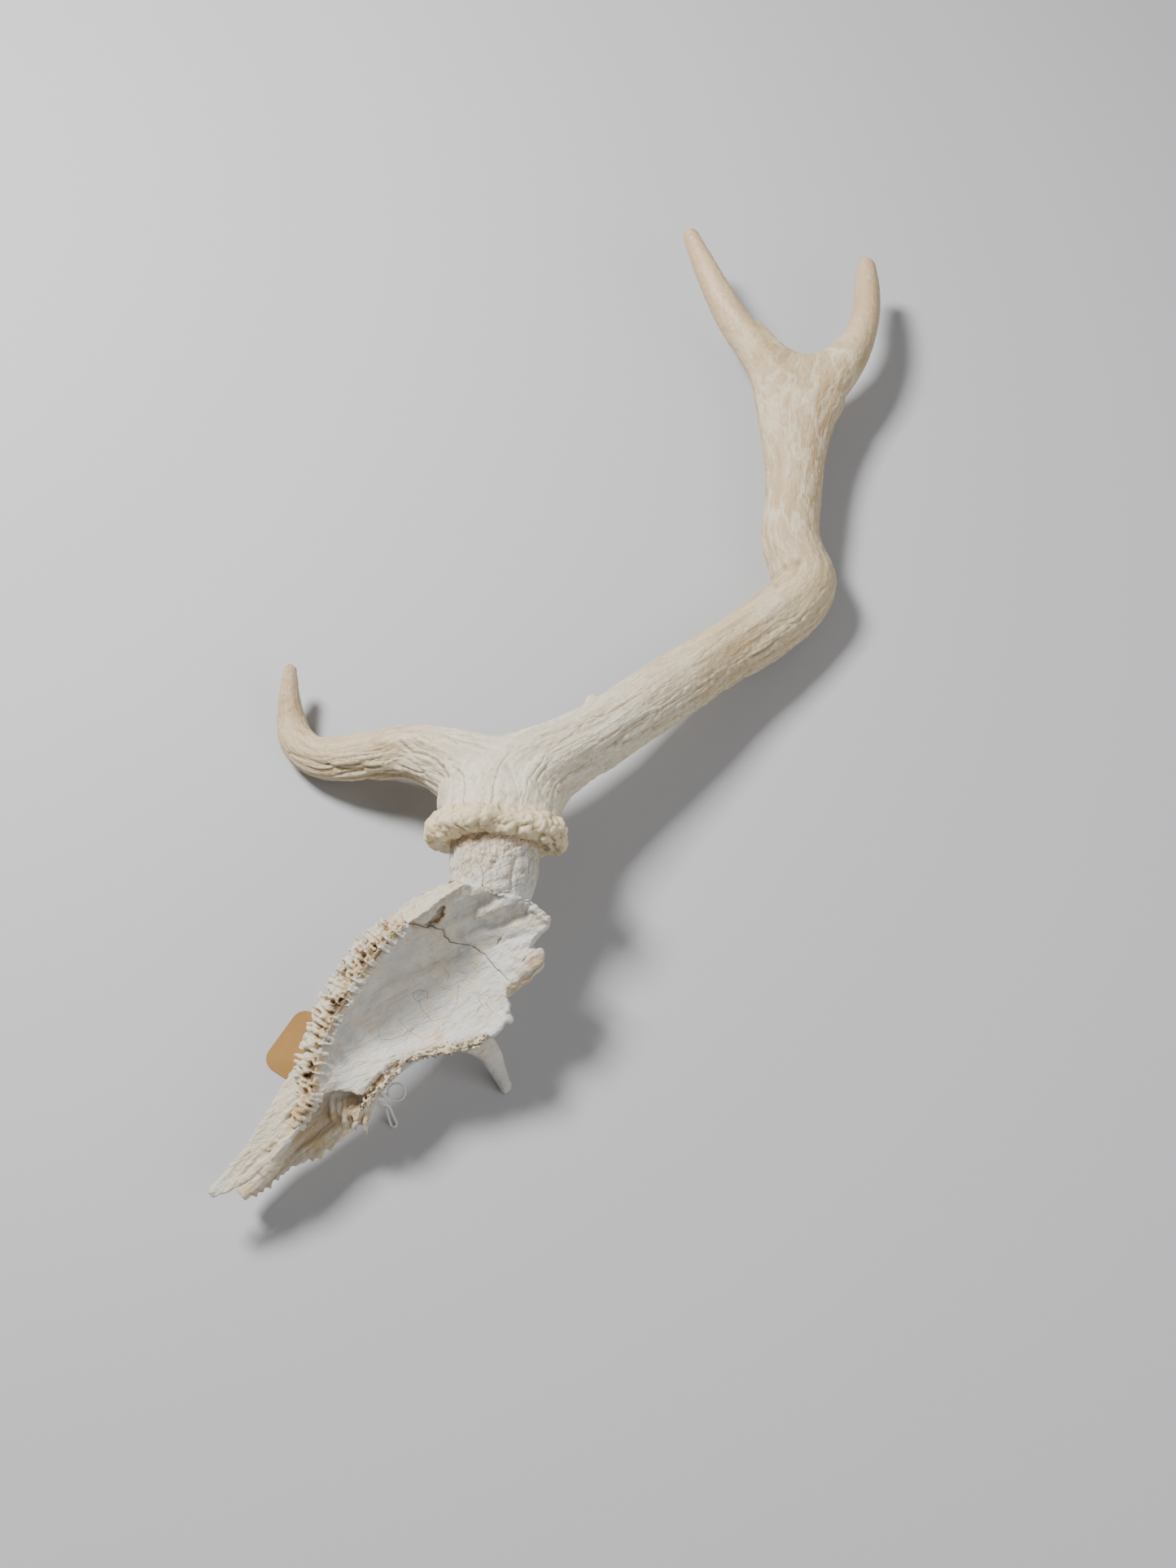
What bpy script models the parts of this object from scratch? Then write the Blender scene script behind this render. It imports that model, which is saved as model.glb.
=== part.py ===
"""Half of a deer's skull roof with its three-point antler, and the paper tag tied to it.

The piece lies as it was found, with the hollow inner side of the bone up. +X is to the right,
+Y runs along the beam towards the top points, +Z is up, and z = 0 is the surface it lies on.
The origin is under the middle of the antler and bone. Lists are in millimetres.
"""

import math
import random

import bmesh
import bpy
import numpy as np
from mathutils import Vector

MM = 0.001
SEAM = 0.4  # gap left where two pieces meet at a fork, in mm
UP = Vector((0, 0, 1))
DIRECTION_SPAN = 0.004  # share of a curve's length over which its direction is read
# Angles, in degrees, at which the rounds that close an end stand: three for a point, or two.
POINT_BENDS = (25, 50, 72)
BLUNT_BENDS = (40, 70)

# ---- Driving dimensions -------------------------------------------------------------------

BURR_WIDTH = 67
BURR_DEPTH = 56
PEDICLE_WIDTH = 41
PEDICLE_DEPTH = 42

# Stations of a branch: x, y and z of its middle, width across it, thickness.
# Both branches start in the trunk, on the burr.
BEAM = [
    (-43, -104, 47, 57, 46),
    (-33, -84, 45, 45, 43),
    (-15, -71, 42, 36, 39),
    (0, -60, 39, 33, 35),
    (13, -50, 37, 32, 34),
    (38, -29, 32, 33, 33),
    (63, -8, 26, 31, 32),
    (85, 10, 21, 32, 33),
    (103, 27, 17.8, 33, 34),
    (112.5, 41, 17.9, 32, 34),
    (109, 55, 19, 31, 32),
    (106, 70, 20, 31, 30),
    (109, 95, 22, 30, 28),
    (111, 121, 24, 34, 27),
    (113, 144, 26, 43, 26),
    (116, 160, 27, 50, 25),
    (118, 177, 28, 44, 22),
]
BROW = [
    (-44, -104, 47, 54, 46),
    (-49, -87, 45, 42, 42),
    (-63, -76, 41, 35, 35),
    (-78, -68, 37, 29, 29),
    (-90, -64, 33, 26, 26),
    (-107, -62, 26, 24, 23),
    (-125, -60, 18, 22, 21),
    (-139, -56, 12, 20, 20),
    (-149, -47, 9.75, 18, 19),
    (-153, -36, 11, 15, 16),
    (-154, -26, 16, 11, 12),
    (-154, -12, 21, 7, 8),
]
LONG_TOP = [
    (108, 158, 27, 36, 25),
    (101, 175, 28, 26, 24),
    (93.5, 189, 29, 21.5, 21),
    (81, 210, 31, 18.5, 19),
    (71, 232, 33, 15.5, 17),
    (64, 252, 34, 12.5, 14),
    (58, 270, 35, 9.5, 10),
]
SHORT_TOP = [
    (122, 158, 27, 30, 24),
    (137, 175, 28, 25, 22),
    (149, 193, 29, 19, 20),
    (156.6, 216, 30, 15.6, 17),
    (158.8, 238, 30, 13.8, 15),
    (159.4, 251, 30, 11, 12),
]
TRUNK = [
    (-44, -105, 47, 56, 46),
    (-42, -90, 46, 60, 44),
    (-39, -80, 44, 60, 38),
    (-39, -75, 43, 46, 28),
]

# Where each branch is parted from the trunk or the palm, as a share of its stations' length.
BEAM_LEAVES = 0.2
BROW_LEAVES = 0.26
LONG_TOP_LEAVES = 0.2
SHORT_TOP_LEAVES = 0.24

# The grooved side of a branch: first and last angle round it, height of the ridges.
BEAM_RIDGED = (math.radians(-110), math.radians(50), 1.6)
BROW_RIDGED = (math.radians(60), math.radians(240), 1.3)

# The burr stands square to the pedicle's axis, which rises a little away from the skull.
BURR_FOOT = (-45, -120, 49)
BURR_AXIS = (0.03, 0.99, 0.139)
# Distance along the axis from its lower face, share of its full width, share of the droop.
# The first two rounds are the flat face that meets the pedicle.
BURR_PROFILE = [
    (0, 0.66, 0),
    (0, 0.82, 0.6),
    (2, 0.94, 1),
    (7.5, 1, 0.6),
    (12.5, 0.94, 0.2),
    (16.5, 0.75, 0),
]
BURR_SIDES = 40
BURR_LOBE = 1
BURR_LUMP = 1.4
BURR_DROOP = 4.5  # how far the ring hangs down at its two sides

# Cross-sections of the skull roof from its rear rim to its front rim: outer lip of the suture,
# inner lip, edge on the orbit side, depth of the dish, thickness of the bone in the middle.
ROOF = [
    ((-62, -142, 64), (-56, -147, 71), (-28, -152, 64), 3, 12),
    ((-72, -146, 62), (-66, -154, 71), (-21, -160, 57), 11, 13),
    ((-84, -152, 59), (-76, -162, 70), (-26, -171, 53), 16, 13),
    ((-95, -163, 56), (-87, -169, 67), (-33, -180, 50), 18, 13),
    ((-106, -173, 52), (-97, -180, 63), (-38, -189, 47), 19, 12),
    ((-113, -184, 48), (-104, -190, 59), (-37, -196, 45), 18, 11),
    ((-119, -194, 44), (-111, -200, 55), (-43, -207, 42), 16, 10),
    ((-124, -205, 40), (-116, -210, 51), (-62, -211, 40), 11, 9),
    ((-127, -214, 37), (-119, -218, 48), (-79, -214, 40), 7, 8),
    ((-131, -223, 34), (-121, -228, 45), (-90, -223, 39), 4, 6),
    ((-133, -232, 31), (-121, -236, 42), (-100, -234, 37), 3, 4),
]
ROOF_EDGE = 6  # thickness of the bone at the orbit side
DISH_LEAN = 0.8  # below 1 it puts the deepest line nearer the suture
DISH_SHARES = (0, 0.1, 0.24, 0.42, 0.6, 0.8, 1)  # places across the dish, from lip to edge
UNDER_SHARES = (0, 0.18, 0.38, 0.6, 0.82)  # and back under the bone, from edge to lip
PEDICLE_RUN = 12  # length over which the pedicle keeps the burr's axis
PEDICLE = [
    (-47, -143, 45, 37, 38),
    (-49, -153, 38.5, 36, 28),
    (-52, -165, 34, 40, 20),
    (-58, -180, 30, 34, 11),
]
ORBIT_RIM = [
    (-103, -242, 20, 5, 3),
    (-98.5, -233, 24.5, 6, 4),
    (-94.5, -226.5, 27.5, 6, 4),
    (-87, -218.5, 30.5, 8, 5),
    (-78, -212, 32, 9, 6),
    (-66, -207.5, 31, 10, 7),
    (-55, -206, 30, 13, 8),
    (-47, -210, 25, 11, 7),
    (-43.3, -215.5, 14, 8, 6),
    (-40.5, -220.2, 5, 6.5, 5),
    (-39.4, -221.8, 1.9, 5, 4),
]
MIDLINE_SPLINTER = [
    (-122, -206, 44, 12, 13),
    (-126, -222, 39, 15, 14),
    (-130, -237, 35, 17, 13),
    (-137, -249, 32, 15, 11),
    (-145, -258, 29, 12, 9),
    (-154.5, -266.6, 27, 9, 7),
    (-163.2, -272.4, 26, 5, 5),
]
OUTER_TABLE = [
    (-110, -220, 26, 18, 3),
    (-112, -229, 24, 24, 3),
    (-116, -237, 22, 26, 3),
    (-121, -243, 19, 23, 3),
    (-127, -248, 18, 20, 3),
    (-134, -252, 17, 17, 3),
    (-140, -257, 16, 15, 3),
    (-146, -263, 15, 13, 3),
    (-152, -269, 14, 10, 3),
    (-155, -272, 14, 5, 3),
]
FRILL = 1.3  # height of the points along the broken edge of the outer table
BROKEN_LAYERS = [
    (-28, -168, 50, 9, 7),
    (-30, -176, 47, 10, 8),
    (-38, -187, 43, 7, 7),
]

# Interlocking teeth of the midline suture.
TOOTH_PITCH = 5.6
TOOTH_WIDTH = 4.4
TOOTH_TIP_WIDTH = 1.7
TOOTH_TAPER = 0.55  # length of its tip over that of its root
TOOTH_LEAN = 0.8  # furthest that a tip stands from straight out
TOOTH_ROWS = [(0.25, 6, 2.4), (0.74, 9, 3.2)]  # share from inner to outer lip, length, height
TOOTH_ROOT = 2.5
TOOTH_SHORT = 6  # teeth over which they grow to full height, from the rear

TAG_WIDTH = 32
TAG_LENGTH = 50
TAG_THICKNESS = 0.6
TAG_CORNER = 6.5
TAG_HOLE = 2.5
TAG_HOLE_INSET = 6
TAG_CENTRE = (-125, -209)
TAG_TURN = math.radians(-32)

THREAD_DIAMETER = 1.2
THREAD_STEP = 2.9
THREAD_FROM_TAG = [
    (-108.9, -219.1, 0.4),
    (-108.5, -219.4, 2.6),
    (-105, -222, 4.4),
    (-100, -226, 8),
    (-95.5, -228.5, 14.5),
    (-92.5, -229, 19.5),
    (-91.3, -228.9, 22.6),
]
THREAD_LOOP = ((-87.2, -229, 25.2), 3.8)  # a slack loop: its middle and its radius
THREAD_LOOP_SIDES = (Vector((1, 0, 0)), Vector((0, 0.9, 0.43)))  # the two directions it lies in
THREAD_TURN = [  # once round the thin wall at the front of the orbit
    (-90.6, -232.2, 24.6),
    (-92, -231.2, 27.4),
    (-94.2, -229.6, 30),
    (-96.4, -227.8, 30.9),
    (-98.9, -226.2, 29.2),
    (-99.4, -227, 26),
    (-98.6, -229, 22.6),
    (-96.4, -231.6, 21.2),
    (-93.6, -233.2, 20.4),
]
THREAD_TAIL = [  # its doubled loose end
    (-91.4, -233.6, 17),
    (-91, -234.4, 10),
    (-90.2, -236.4, 3.5),
    (-89.6, -238, 0.9),
    (-90.6, -239.4, 0.7),
    (-92.2, -238.4, 0.8),
    (-92.9, -235.6, 6),
    (-93.2, -233.2, 13),
]


# ---- Helpers ------------------------------------------------------------------------------


def clear_scene():
    for thing in list(bpy.data.objects):
        bpy.data.objects.remove(thing)


def new_collection(name):
    collection = bpy.data.collections.new(name)
    bpy.context.scene.collection.children.link(collection)
    return collection


def material(name, colour, roughness):
    made = bpy.data.materials.new(name)
    made.use_nodes = True
    shader = made.node_tree.nodes["Principled BSDF"]
    shader.inputs["Base Color"].default_value = (*colour, 1)
    shader.inputs["Roughness"].default_value = roughness
    shader.inputs["Metallic"].default_value = 0
    return made


def through(rows, count, start=0.0, end=1.0, steps=16):
    """Rows read evenly along a smooth curve through these rows, between two shares of its length."""
    rows = np.array(rows, float)
    padded = np.vstack([2 * rows[0] - rows[1], rows, 2 * rows[-1] - rows[-2]])
    fine = []
    for before, here, there, after in zip(padded, padded[1:], padded[2:], padded[3:]):
        for t in np.linspace(0, 1, steps, endpoint=False):
            straight = 2 * here + (there - before) * t
            squared = (2 * before - 5 * here + 4 * there - after) * t**2
            cubed = (3 * here - before - 3 * there + after) * t**3
            fine.append((straight + squared + cubed) / 2)
    fine = np.array(fine + [rows[-1]])
    gaps = np.linalg.norm(np.diff(fine[:, :3], axis=0), axis=1)
    travelled = np.concatenate([[0], np.cumsum(gaps)])
    places = travelled[-1] * np.linspace(start, end, count)
    return np.column_stack([np.interp(places, travelled, column) for column in fine.T])


def stations(rows, count, start=0.0, end=1.0):
    """The same, with the direction of the curve added to each row."""
    ahead = through(rows, count, start + DIRECTION_SPAN, end + DIRECTION_SPAN)[:, :3]
    behind = through(rows, count, start - DIRECTION_SPAN, end - DIRECTION_SPAN)[:, :3]
    return np.hstack([through(rows, count, start, end), ahead - behind])


def skin(name, rings):
    """A closed mesh through rings that have the same number of points, with its ends filled."""
    mesh = bmesh.new()
    loops = [[mesh.verts.new([c * MM for c in point]) for point in ring] for ring in rings]
    for low, high in zip(loops, loops[1:]):
        for k in range(len(low)):
            after = (k + 1) % len(low)
            mesh.faces.new((low[k], low[after], high[after], high[k]))
    mesh.faces.new(loops[0])
    mesh.faces.new(loops[-1])
    bmesh.ops.recalc_face_normals(mesh, faces=mesh.faces)
    bmesh.ops.triangulate(mesh, faces=[f for f in mesh.faces if len(f.verts) > 4])
    data = bpy.data.meshes.new(name)
    mesh.to_mesh(data)
    mesh.free()
    return data


def across(direction):
    """The level direction across a branch, and the one square to both."""
    side = direction.cross(UP).normalized()
    return side, side.cross(direction).normalized()


def oval_rings(rows, sides, relief=None):
    """Oval rings across the stations of a branch; relief(share, angle, number) changes their radius."""
    rings = []
    for k, (x, y, z, width, thickness, *direction) in enumerate(rows):
        side, top = across(Vector(direction))
        ring = []
        for n in range(sides):
            angle = 2 * math.pi * n / sides
            grow = relief(k / (len(rows) - 1), angle, n) if relief else 0
            right = side * math.cos(angle) * (width / 2 + grow)
            above = top * math.sin(angle) * (thickness / 2 + grow)
            ring.append(Vector((x, y, z)) + right + above)
        rings.append(ring)
    return rings


def rounded_tip(rows, bends=POINT_BENDS):
    """The stations with a round end added past the last one."""
    x, y, z, width, thickness, *direction = rows[-1]
    ahead = Vector(direction).normalized() * min(width, thickness) / 2
    added = []
    for bend in bends:
        angle = math.radians(bend)
        place = Vector((x, y, z)) + ahead * math.sin(angle)
        added.append([*place, width * math.cos(angle), thickness * math.cos(angle), *direction])
    return np.vstack([rows, added])


def add_object(name, data, collection, finish):
    thing = bpy.data.objects.new(name, data)
    collection.objects.link(thing)
    data.materials.append(finish)
    return thing


def fuse(thing, others, helpers):
    """Joins other meshes to a piece with Boolean unions; they stay as hidden helpers."""
    for number, data in enumerate(others):
        helper = bpy.data.objects.new(f"{thing.name}_joined_{number}", data)
        helper.hide_render = True
        helper.display_type = "WIRE"
        helpers.objects.link(helper)
        join = thing.modifiers.new(f"join_{number}", "BOOLEAN")
        join.operation = "UNION"
        join.solver = "EXACT"
        join.use_self = True
        join.object = helper


def ridges(first, last, height):
    """Relief of long ridges between two angles, strongest midway between them."""

    def relief(share, angle, number):
        turn = (angle - first) % (2 * math.pi)
        width = (last - first) % (2 * math.pi)
        if turn > width:
            return 0
        strength = math.sin(math.pi * turn / width) ** 0.5
        fade = min(1, 6 * share, 5 * (1 - share))
        return height * strength * fade * (0.5 if number % 2 else -0.5)

    return relief


# ---- The antler ---------------------------------------------------------------------------


def burr_rings():
    """The pearled ring, as lumpy rounds along the axis of the pedicle."""
    chance = random.Random(5)
    axis = Vector(BURR_AXIS).normalized()
    side, top = across(axis)
    rings = []
    for row, (along, share, droop) in enumerate(BURR_PROFILE):
        ring = []
        for n in range(BURR_SIDES):
            angle = 2 * math.pi * n / BURR_SIDES
            lobes = BURR_LOBE * (math.sin(3 * angle + 1) + 0.8 * math.sin(5 * angle))
            lump = share * (lobes + BURR_LUMP * chance.uniform(-1, 1)) if row > 1 else 0
            wide = side * (BURR_WIDTH / 2 * share + lump) * math.cos(angle)
            deep = top * (BURR_DEPTH / 2 * share + lump) * math.sin(angle)
            drop = axis * (along - BURR_DROOP * droop * math.cos(angle) ** 4)
            ring.append(Vector(BURR_FOOT) + wide + deep + drop)
        rings.append(ring)
    return rings


def add_antler_base(collection, helpers, finish):
    beam_stub = stations(BEAM, 6, 0, BEAM_LEAVES)
    beam_skin = skin("antler_base", oval_rings(beam_stub, 28, ridges(*BEAM_RIDGED)))
    base = add_object("antler_base", beam_skin, collection, finish)
    brow_stub = stations(BROW, 6, 0, BROW_LEAVES)
    trunk = rounded_tip(stations(TRUNK, 5), BLUNT_BENDS)
    shapes = [
        skin("brow_stub", oval_rings(brow_stub, 24)),
        skin("trunk", oval_rings(trunk, 24)),
        skin("burr", burr_rings()),
    ]
    fuse(base, shapes, helpers)


def add_main_beam(collection, helpers, finish):
    start = BEAM_LEAVES + SEAM / branch_length(BEAM)
    rows = stations(BEAM, 24, start, 1)
    beam_skin = skin("main_beam", oval_rings(rows, 28, ridges(*BEAM_RIDGED)))
    beam = add_object("main_beam", beam_skin, collection, finish)
    long_stub = stations(LONG_TOP, 4, 0, LONG_TOP_LEAVES)
    short_stub = stations(SHORT_TOP, 4, 0, SHORT_TOP_LEAVES)
    shapes = [
        skin("long_stub", oval_rings(long_stub, 20)),
        skin("short_stub", oval_rings(short_stub, 20)),
    ]
    fuse(beam, shapes, helpers)


def branch_length(rows):
    whole = through(rows, 60)
    return np.linalg.norm(np.diff(whole[:, :3], axis=0), axis=1).sum()


def add_tine(name, rows, leaves, count, sides, collection, finish, relief=None):
    start = leaves + SEAM / branch_length(rows)
    places = rounded_tip(stations(rows, count, start, 1))
    add_object(name, skin(name, oval_rings(places, sides, relief)), collection, finish)


# ---- The skull roof -----------------------------------------------------------------------


def roof_section(number):
    """One closed cross-section: over the dish from lip to edge, and back under the bone."""
    outer, inner, edge, depth, thickness = ROOF[number]
    outer, inner, edge = Vector(outer), Vector(inner), Vector(edge)
    below = edge - UP * ROOF_EDGE
    middle = (inner.z + edge.z) / 2 - depth - thickness
    bulge = (outer.z + below.z) / 2 - middle
    sunk = [depth * math.sin(math.pi * s**DISH_LEAN) for s in DISH_SHARES]
    dish = [inner.lerp(edge, s) - UP * down for s, down in zip(DISH_SHARES, sunk)]
    under = [below.lerp(outer, s) - UP * bulge * math.sin(math.pi * s) for s in UNDER_SHARES]
    return [outer, outer.lerp(inner, 0.5), *dish, *under]


def roof_rings(count):
    """The cross-sections, read from smooth curves that run the length of the roof."""
    sections = [roof_section(number) for number in range(len(ROOF))]
    lines = [through(line, count) for line in zip(*sections)]
    return [[line[k] for line in lines] for k in range(count)]


def suture_teeth():
    """Fingers of bone that stood between those of the other half, in two rows."""
    chance = random.Random(7)
    outer_lip = [row[0] for row in ROOF[1:]]
    inner_lip = [row[1] for row in ROOF[1:]]
    count = int(branch_length(outer_lip) / TOOTH_PITCH)
    outer_points = stations(outer_lip, count)
    inner_points = stations(inner_lip, count)
    teeth = []
    for k in range(count):
        outer, inner = Vector(outer_points[k][:3]), Vector(inner_points[k][:3])
        along = Vector(inner_points[k][3:]).normalized()
        face = (outer - inner).normalized()
        out = face.cross(along).normalized()
        grown = min(1, (k + 2) / TOOTH_SHORT)
        for share, length, height in TOOTH_ROWS:
            place = inner.lerp(outer, share) + along * TOOTH_LEAN * chance.uniform(-0.6, 0.6)
            lean = along * chance.uniform(-1, 1) + face * chance.uniform(-0.7, 1.5)
            tall = height * grown * chance.uniform(0.75, 1.15)
            tip = place + out * tall + lean * TOOTH_LEAN
            root_ring = tooth_ring(place - out * TOOTH_ROOT, along, face, TOOTH_WIDTH, length)
            tip_ring = tooth_ring(tip, along, face, TOOTH_TIP_WIDTH, length * TOOTH_TAPER)
            teeth.append(skin("tooth", [root_ring, tip_ring]))
    return join_meshes("suture_teeth", teeth)


def tooth_ring(centre, along, face, width, length):
    corners = [(-1, -1), (1, -1), (1, 1), (-1, 1)]
    return [centre + along * a * width / 2 + face * b * length / 2 for a, b in corners]


def join_meshes(name, parts):
    mesh = bmesh.new()
    for part in parts:
        mesh.from_mesh(part)
        bpy.data.meshes.remove(part)
    data = bpy.data.meshes.new(name)
    mesh.to_mesh(data)
    mesh.free()
    return data


def frilled(rows, sides, notch):
    """Oval rings of a thin blade whose far edge is cut into small points, as thin bone breaks."""
    rings = oval_rings(rows, sides)
    for k, ring in enumerate(rings):
        edge = ring[sides // 2]
        inward = (Vector(rows[k][:3]) - edge).normalized()
        edge += inward * (notch if k % 2 else -notch)
    return rings


def pedicle_rings():
    """The pedicle: square to the burr where it meets it, then bending down under the dish."""
    foot, axis = Vector(BURR_FOOT), Vector(BURR_AXIS).normalized()
    top = (*(foot - axis * SEAM), PEDICLE_WIDTH, PEDICLE_DEPTH)
    lower = (*(foot - axis * PEDICLE_RUN), PEDICLE_WIDTH, PEDICLE_DEPTH - 2)
    return oval_rings(stations([top, lower, *PEDICLE], 8), 24)


def add_skull(collection, helpers, finish):
    skull = add_object("skull_bone", skin("skull_bone", roof_rings(20)), collection, finish)
    rim = rounded_tip(stations(ORBIT_RIM, 18), BLUNT_BENDS)
    splinter = rounded_tip(stations(MIDLINE_SPLINTER, 10), BLUNT_BENDS)
    layers = rounded_tip(stations(BROKEN_LAYERS, 5))
    shapes = [
        skin("pedicle", pedicle_rings()),
        skin("orbit_rim", oval_rings(rim, 10)),
        skin("midline_splinter", oval_rings(splinter, 10)),
        skin("outer_table", frilled(stations(OUTER_TABLE, 19), 8, FRILL)),
        skin("broken_layers", oval_rings(layers, 10)),
        suture_teeth(),
    ]
    fuse(skull, shapes, helpers)


# ---- The tag and its thread ---------------------------------------------------------------


def closed_spline(curve, points):
    spline = curve.splines.new("POLY")
    spline.points.add(len(points) - 1)
    for point, place in zip(spline.points, points):
        point.co = (*[c * MM for c in place], 1)
    spline.use_cyclic_u = True


def arc(centre, radius, first, last, count):
    angles = np.linspace(math.radians(first), math.radians(last), count)
    return [(centre[0] + radius * math.cos(a), centre[1] + radius * math.sin(a), 0) for a in angles]


def add_tag(collection, finish):
    curve = bpy.data.curves.new("paper_tag", "CURVE")
    curve.dimensions = "2D"
    curve.fill_mode = "BOTH"
    curve.extrude = TAG_THICKNESS / 2 * MM
    right = TAG_LENGTH / 2 - TAG_CORNER
    top = TAG_WIDTH / 2 - TAG_CORNER
    outline = []
    for quarter, centre in enumerate([(right, top), (-right, top), (-right, -top), (right, -top)]):
        outline += arc(centre, TAG_CORNER, 90 * quarter, 90 * quarter + 90, 6)
    closed_spline(curve, outline)
    hole = arc((TAG_LENGTH / 2 - TAG_HOLE_INSET, 0), TAG_HOLE, 0, 330, 12)
    closed_spline(curve, hole)
    tag = add_object("paper_tag", curve, collection, finish)
    tag.location = (TAG_CENTRE[0] * MM, TAG_CENTRE[1] * MM, TAG_THICKNESS / 2 * MM)
    tag.rotation_euler.z = TAG_TURN


def thread_route():
    """From the tag's hole, round the thin wall of the orbit, and down to a loose doubled end."""
    centre, radius = Vector(THREAD_LOOP[0]), THREAD_LOOP[1]
    right, leaning = THREAD_LOOP_SIDES
    loop = []
    for angle in np.radians(np.linspace(210, -110, 10)):
        loop.append(tuple(centre + radius * (right * math.cos(angle) + leaning * math.sin(angle))))
    return THREAD_FROM_TAG + loop + THREAD_TURN + THREAD_TAIL


def add_thread(collection, finish):
    route = thread_route()
    count = int(branch_length(route) / THREAD_STEP)
    curve = bpy.data.curves.new("tag_thread", "CURVE")
    curve.dimensions = "3D"
    curve.bevel_depth = THREAD_DIAMETER / 2 * MM
    curve.bevel_resolution = 2
    curve.use_fill_caps = True
    spline = curve.splines.new("POLY")
    spline.points.add(count - 1)
    for point, place in zip(spline.points, through(route, count)):
        point.co = (*[c * MM for c in place], 1)
    add_object("tag_thread", curve, collection, finish)


# ---- Build --------------------------------------------------------------------------------


def main():
    clear_scene()
    antler = new_collection("deer_antler")
    helpers = new_collection("joined_shapes")
    bone = material("skull_bone", (0.72, 0.71, 0.68), 0.62)
    horn = material("antler_bone", (0.70, 0.64, 0.54), 0.55)
    paper = material("kraft_paper", (0.55, 0.36, 0.19), 0.85)
    cotton = material("cotton_thread", (0.80, 0.79, 0.76), 0.9)
    add_skull(antler, helpers, bone)
    add_antler_base(antler, helpers, horn)
    add_main_beam(antler, helpers, horn)
    add_tine("brow_tine", BROW, BROW_LEAVES, 14, 24, antler, horn, ridges(*BROW_RIDGED))
    add_tine("long_top_tine", LONG_TOP, LONG_TOP_LEAVES, 9, 18, antler, horn)
    add_tine("short_top_tine", SHORT_TOP, SHORT_TOP_LEAVES, 8, 18, antler, horn)
    add_tag(antler, paper)
    add_thread(antler, cotton)


main()
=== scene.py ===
# %% [markdown]
# # A deer antler on its half of the skull roof
#
# The real thing is one piece of dry bone. A deer's skull was sawn and split along the seam
# in the middle of its forehead, and this half kept its antler. It lies with the hollow inner
# side of the skull up, and a blank paper tag is tied to it with white thread.
#
# Bone has no flat faces and no repeats, so each form here is built in three steps. Smooth
# lofts give the large shape, a voxel remesh grows them together, and then code moves every
# point along its normal for ridges, pearls and cracks. Sculpting by hand would look as good,
# but it couldn't be run again or changed by one number.

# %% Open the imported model
import itertools
import math
import random

import bmesh
import bpy
import numpy as np
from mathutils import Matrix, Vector
from mathutils.kdtree import KDTree

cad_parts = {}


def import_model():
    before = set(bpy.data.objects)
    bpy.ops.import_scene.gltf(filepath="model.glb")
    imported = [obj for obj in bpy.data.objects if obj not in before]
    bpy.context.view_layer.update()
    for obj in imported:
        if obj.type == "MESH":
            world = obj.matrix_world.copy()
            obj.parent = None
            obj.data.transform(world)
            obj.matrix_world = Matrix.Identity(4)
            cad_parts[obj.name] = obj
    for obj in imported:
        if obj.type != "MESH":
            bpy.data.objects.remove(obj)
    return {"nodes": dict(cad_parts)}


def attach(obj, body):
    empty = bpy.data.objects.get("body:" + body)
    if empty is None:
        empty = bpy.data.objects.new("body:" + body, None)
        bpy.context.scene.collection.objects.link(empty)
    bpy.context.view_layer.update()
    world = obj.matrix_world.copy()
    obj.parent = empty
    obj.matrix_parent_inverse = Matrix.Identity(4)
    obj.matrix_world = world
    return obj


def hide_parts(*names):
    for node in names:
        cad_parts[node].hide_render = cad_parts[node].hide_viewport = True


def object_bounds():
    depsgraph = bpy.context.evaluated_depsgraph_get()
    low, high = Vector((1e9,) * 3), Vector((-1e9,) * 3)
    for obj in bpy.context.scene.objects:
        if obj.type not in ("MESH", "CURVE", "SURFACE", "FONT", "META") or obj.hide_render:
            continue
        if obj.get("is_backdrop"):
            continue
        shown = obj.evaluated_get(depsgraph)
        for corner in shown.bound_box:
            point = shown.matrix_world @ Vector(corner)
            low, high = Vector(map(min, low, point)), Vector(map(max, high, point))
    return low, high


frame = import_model()
CAD_BOX = [list(corner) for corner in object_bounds()]
MM = 0.001
UP = np.array([0, 0, 1.0])
print("nodes:", ", ".join(sorted(frame["nodes"])))

# %% [markdown]
# ## The camera
#
# The photograph looks steeply down, 65 degrees below level, and the piece fills a tall frame.
# A camera turned up by 25 degrees from straight down has that view. Its lens and its place
# were worked out from where known points of the model fall in the frame, so later steps
# can be compared with the photograph point by point.

# %% Camera
CAMERA_PLACE = (-2, -380.3, 674)  # mm
CAMERA_TURN = 25  # degrees from straight down
FOCAL_PIXELS = 1800
FRAME_WIDTH, FRAME_HEIGHT = 1445, 1927
SENSOR = 36
camera_data = bpy.data.cameras.new("camera")
camera_data.sensor_width = SENSOR
camera_data.lens = SENSOR * FOCAL_PIXELS / FRAME_HEIGHT
camera_data.clip_start = 0.05
camera = bpy.data.objects.new("camera", camera_data)
camera.location = [c * MM for c in CAMERA_PLACE]
camera.rotation_euler.x = math.radians(CAMERA_TURN)
bpy.context.scene.collection.objects.link(camera)
bpy.context.scene.camera = camera
print(f"lens {camera_data.lens:.1f} mm")


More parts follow.
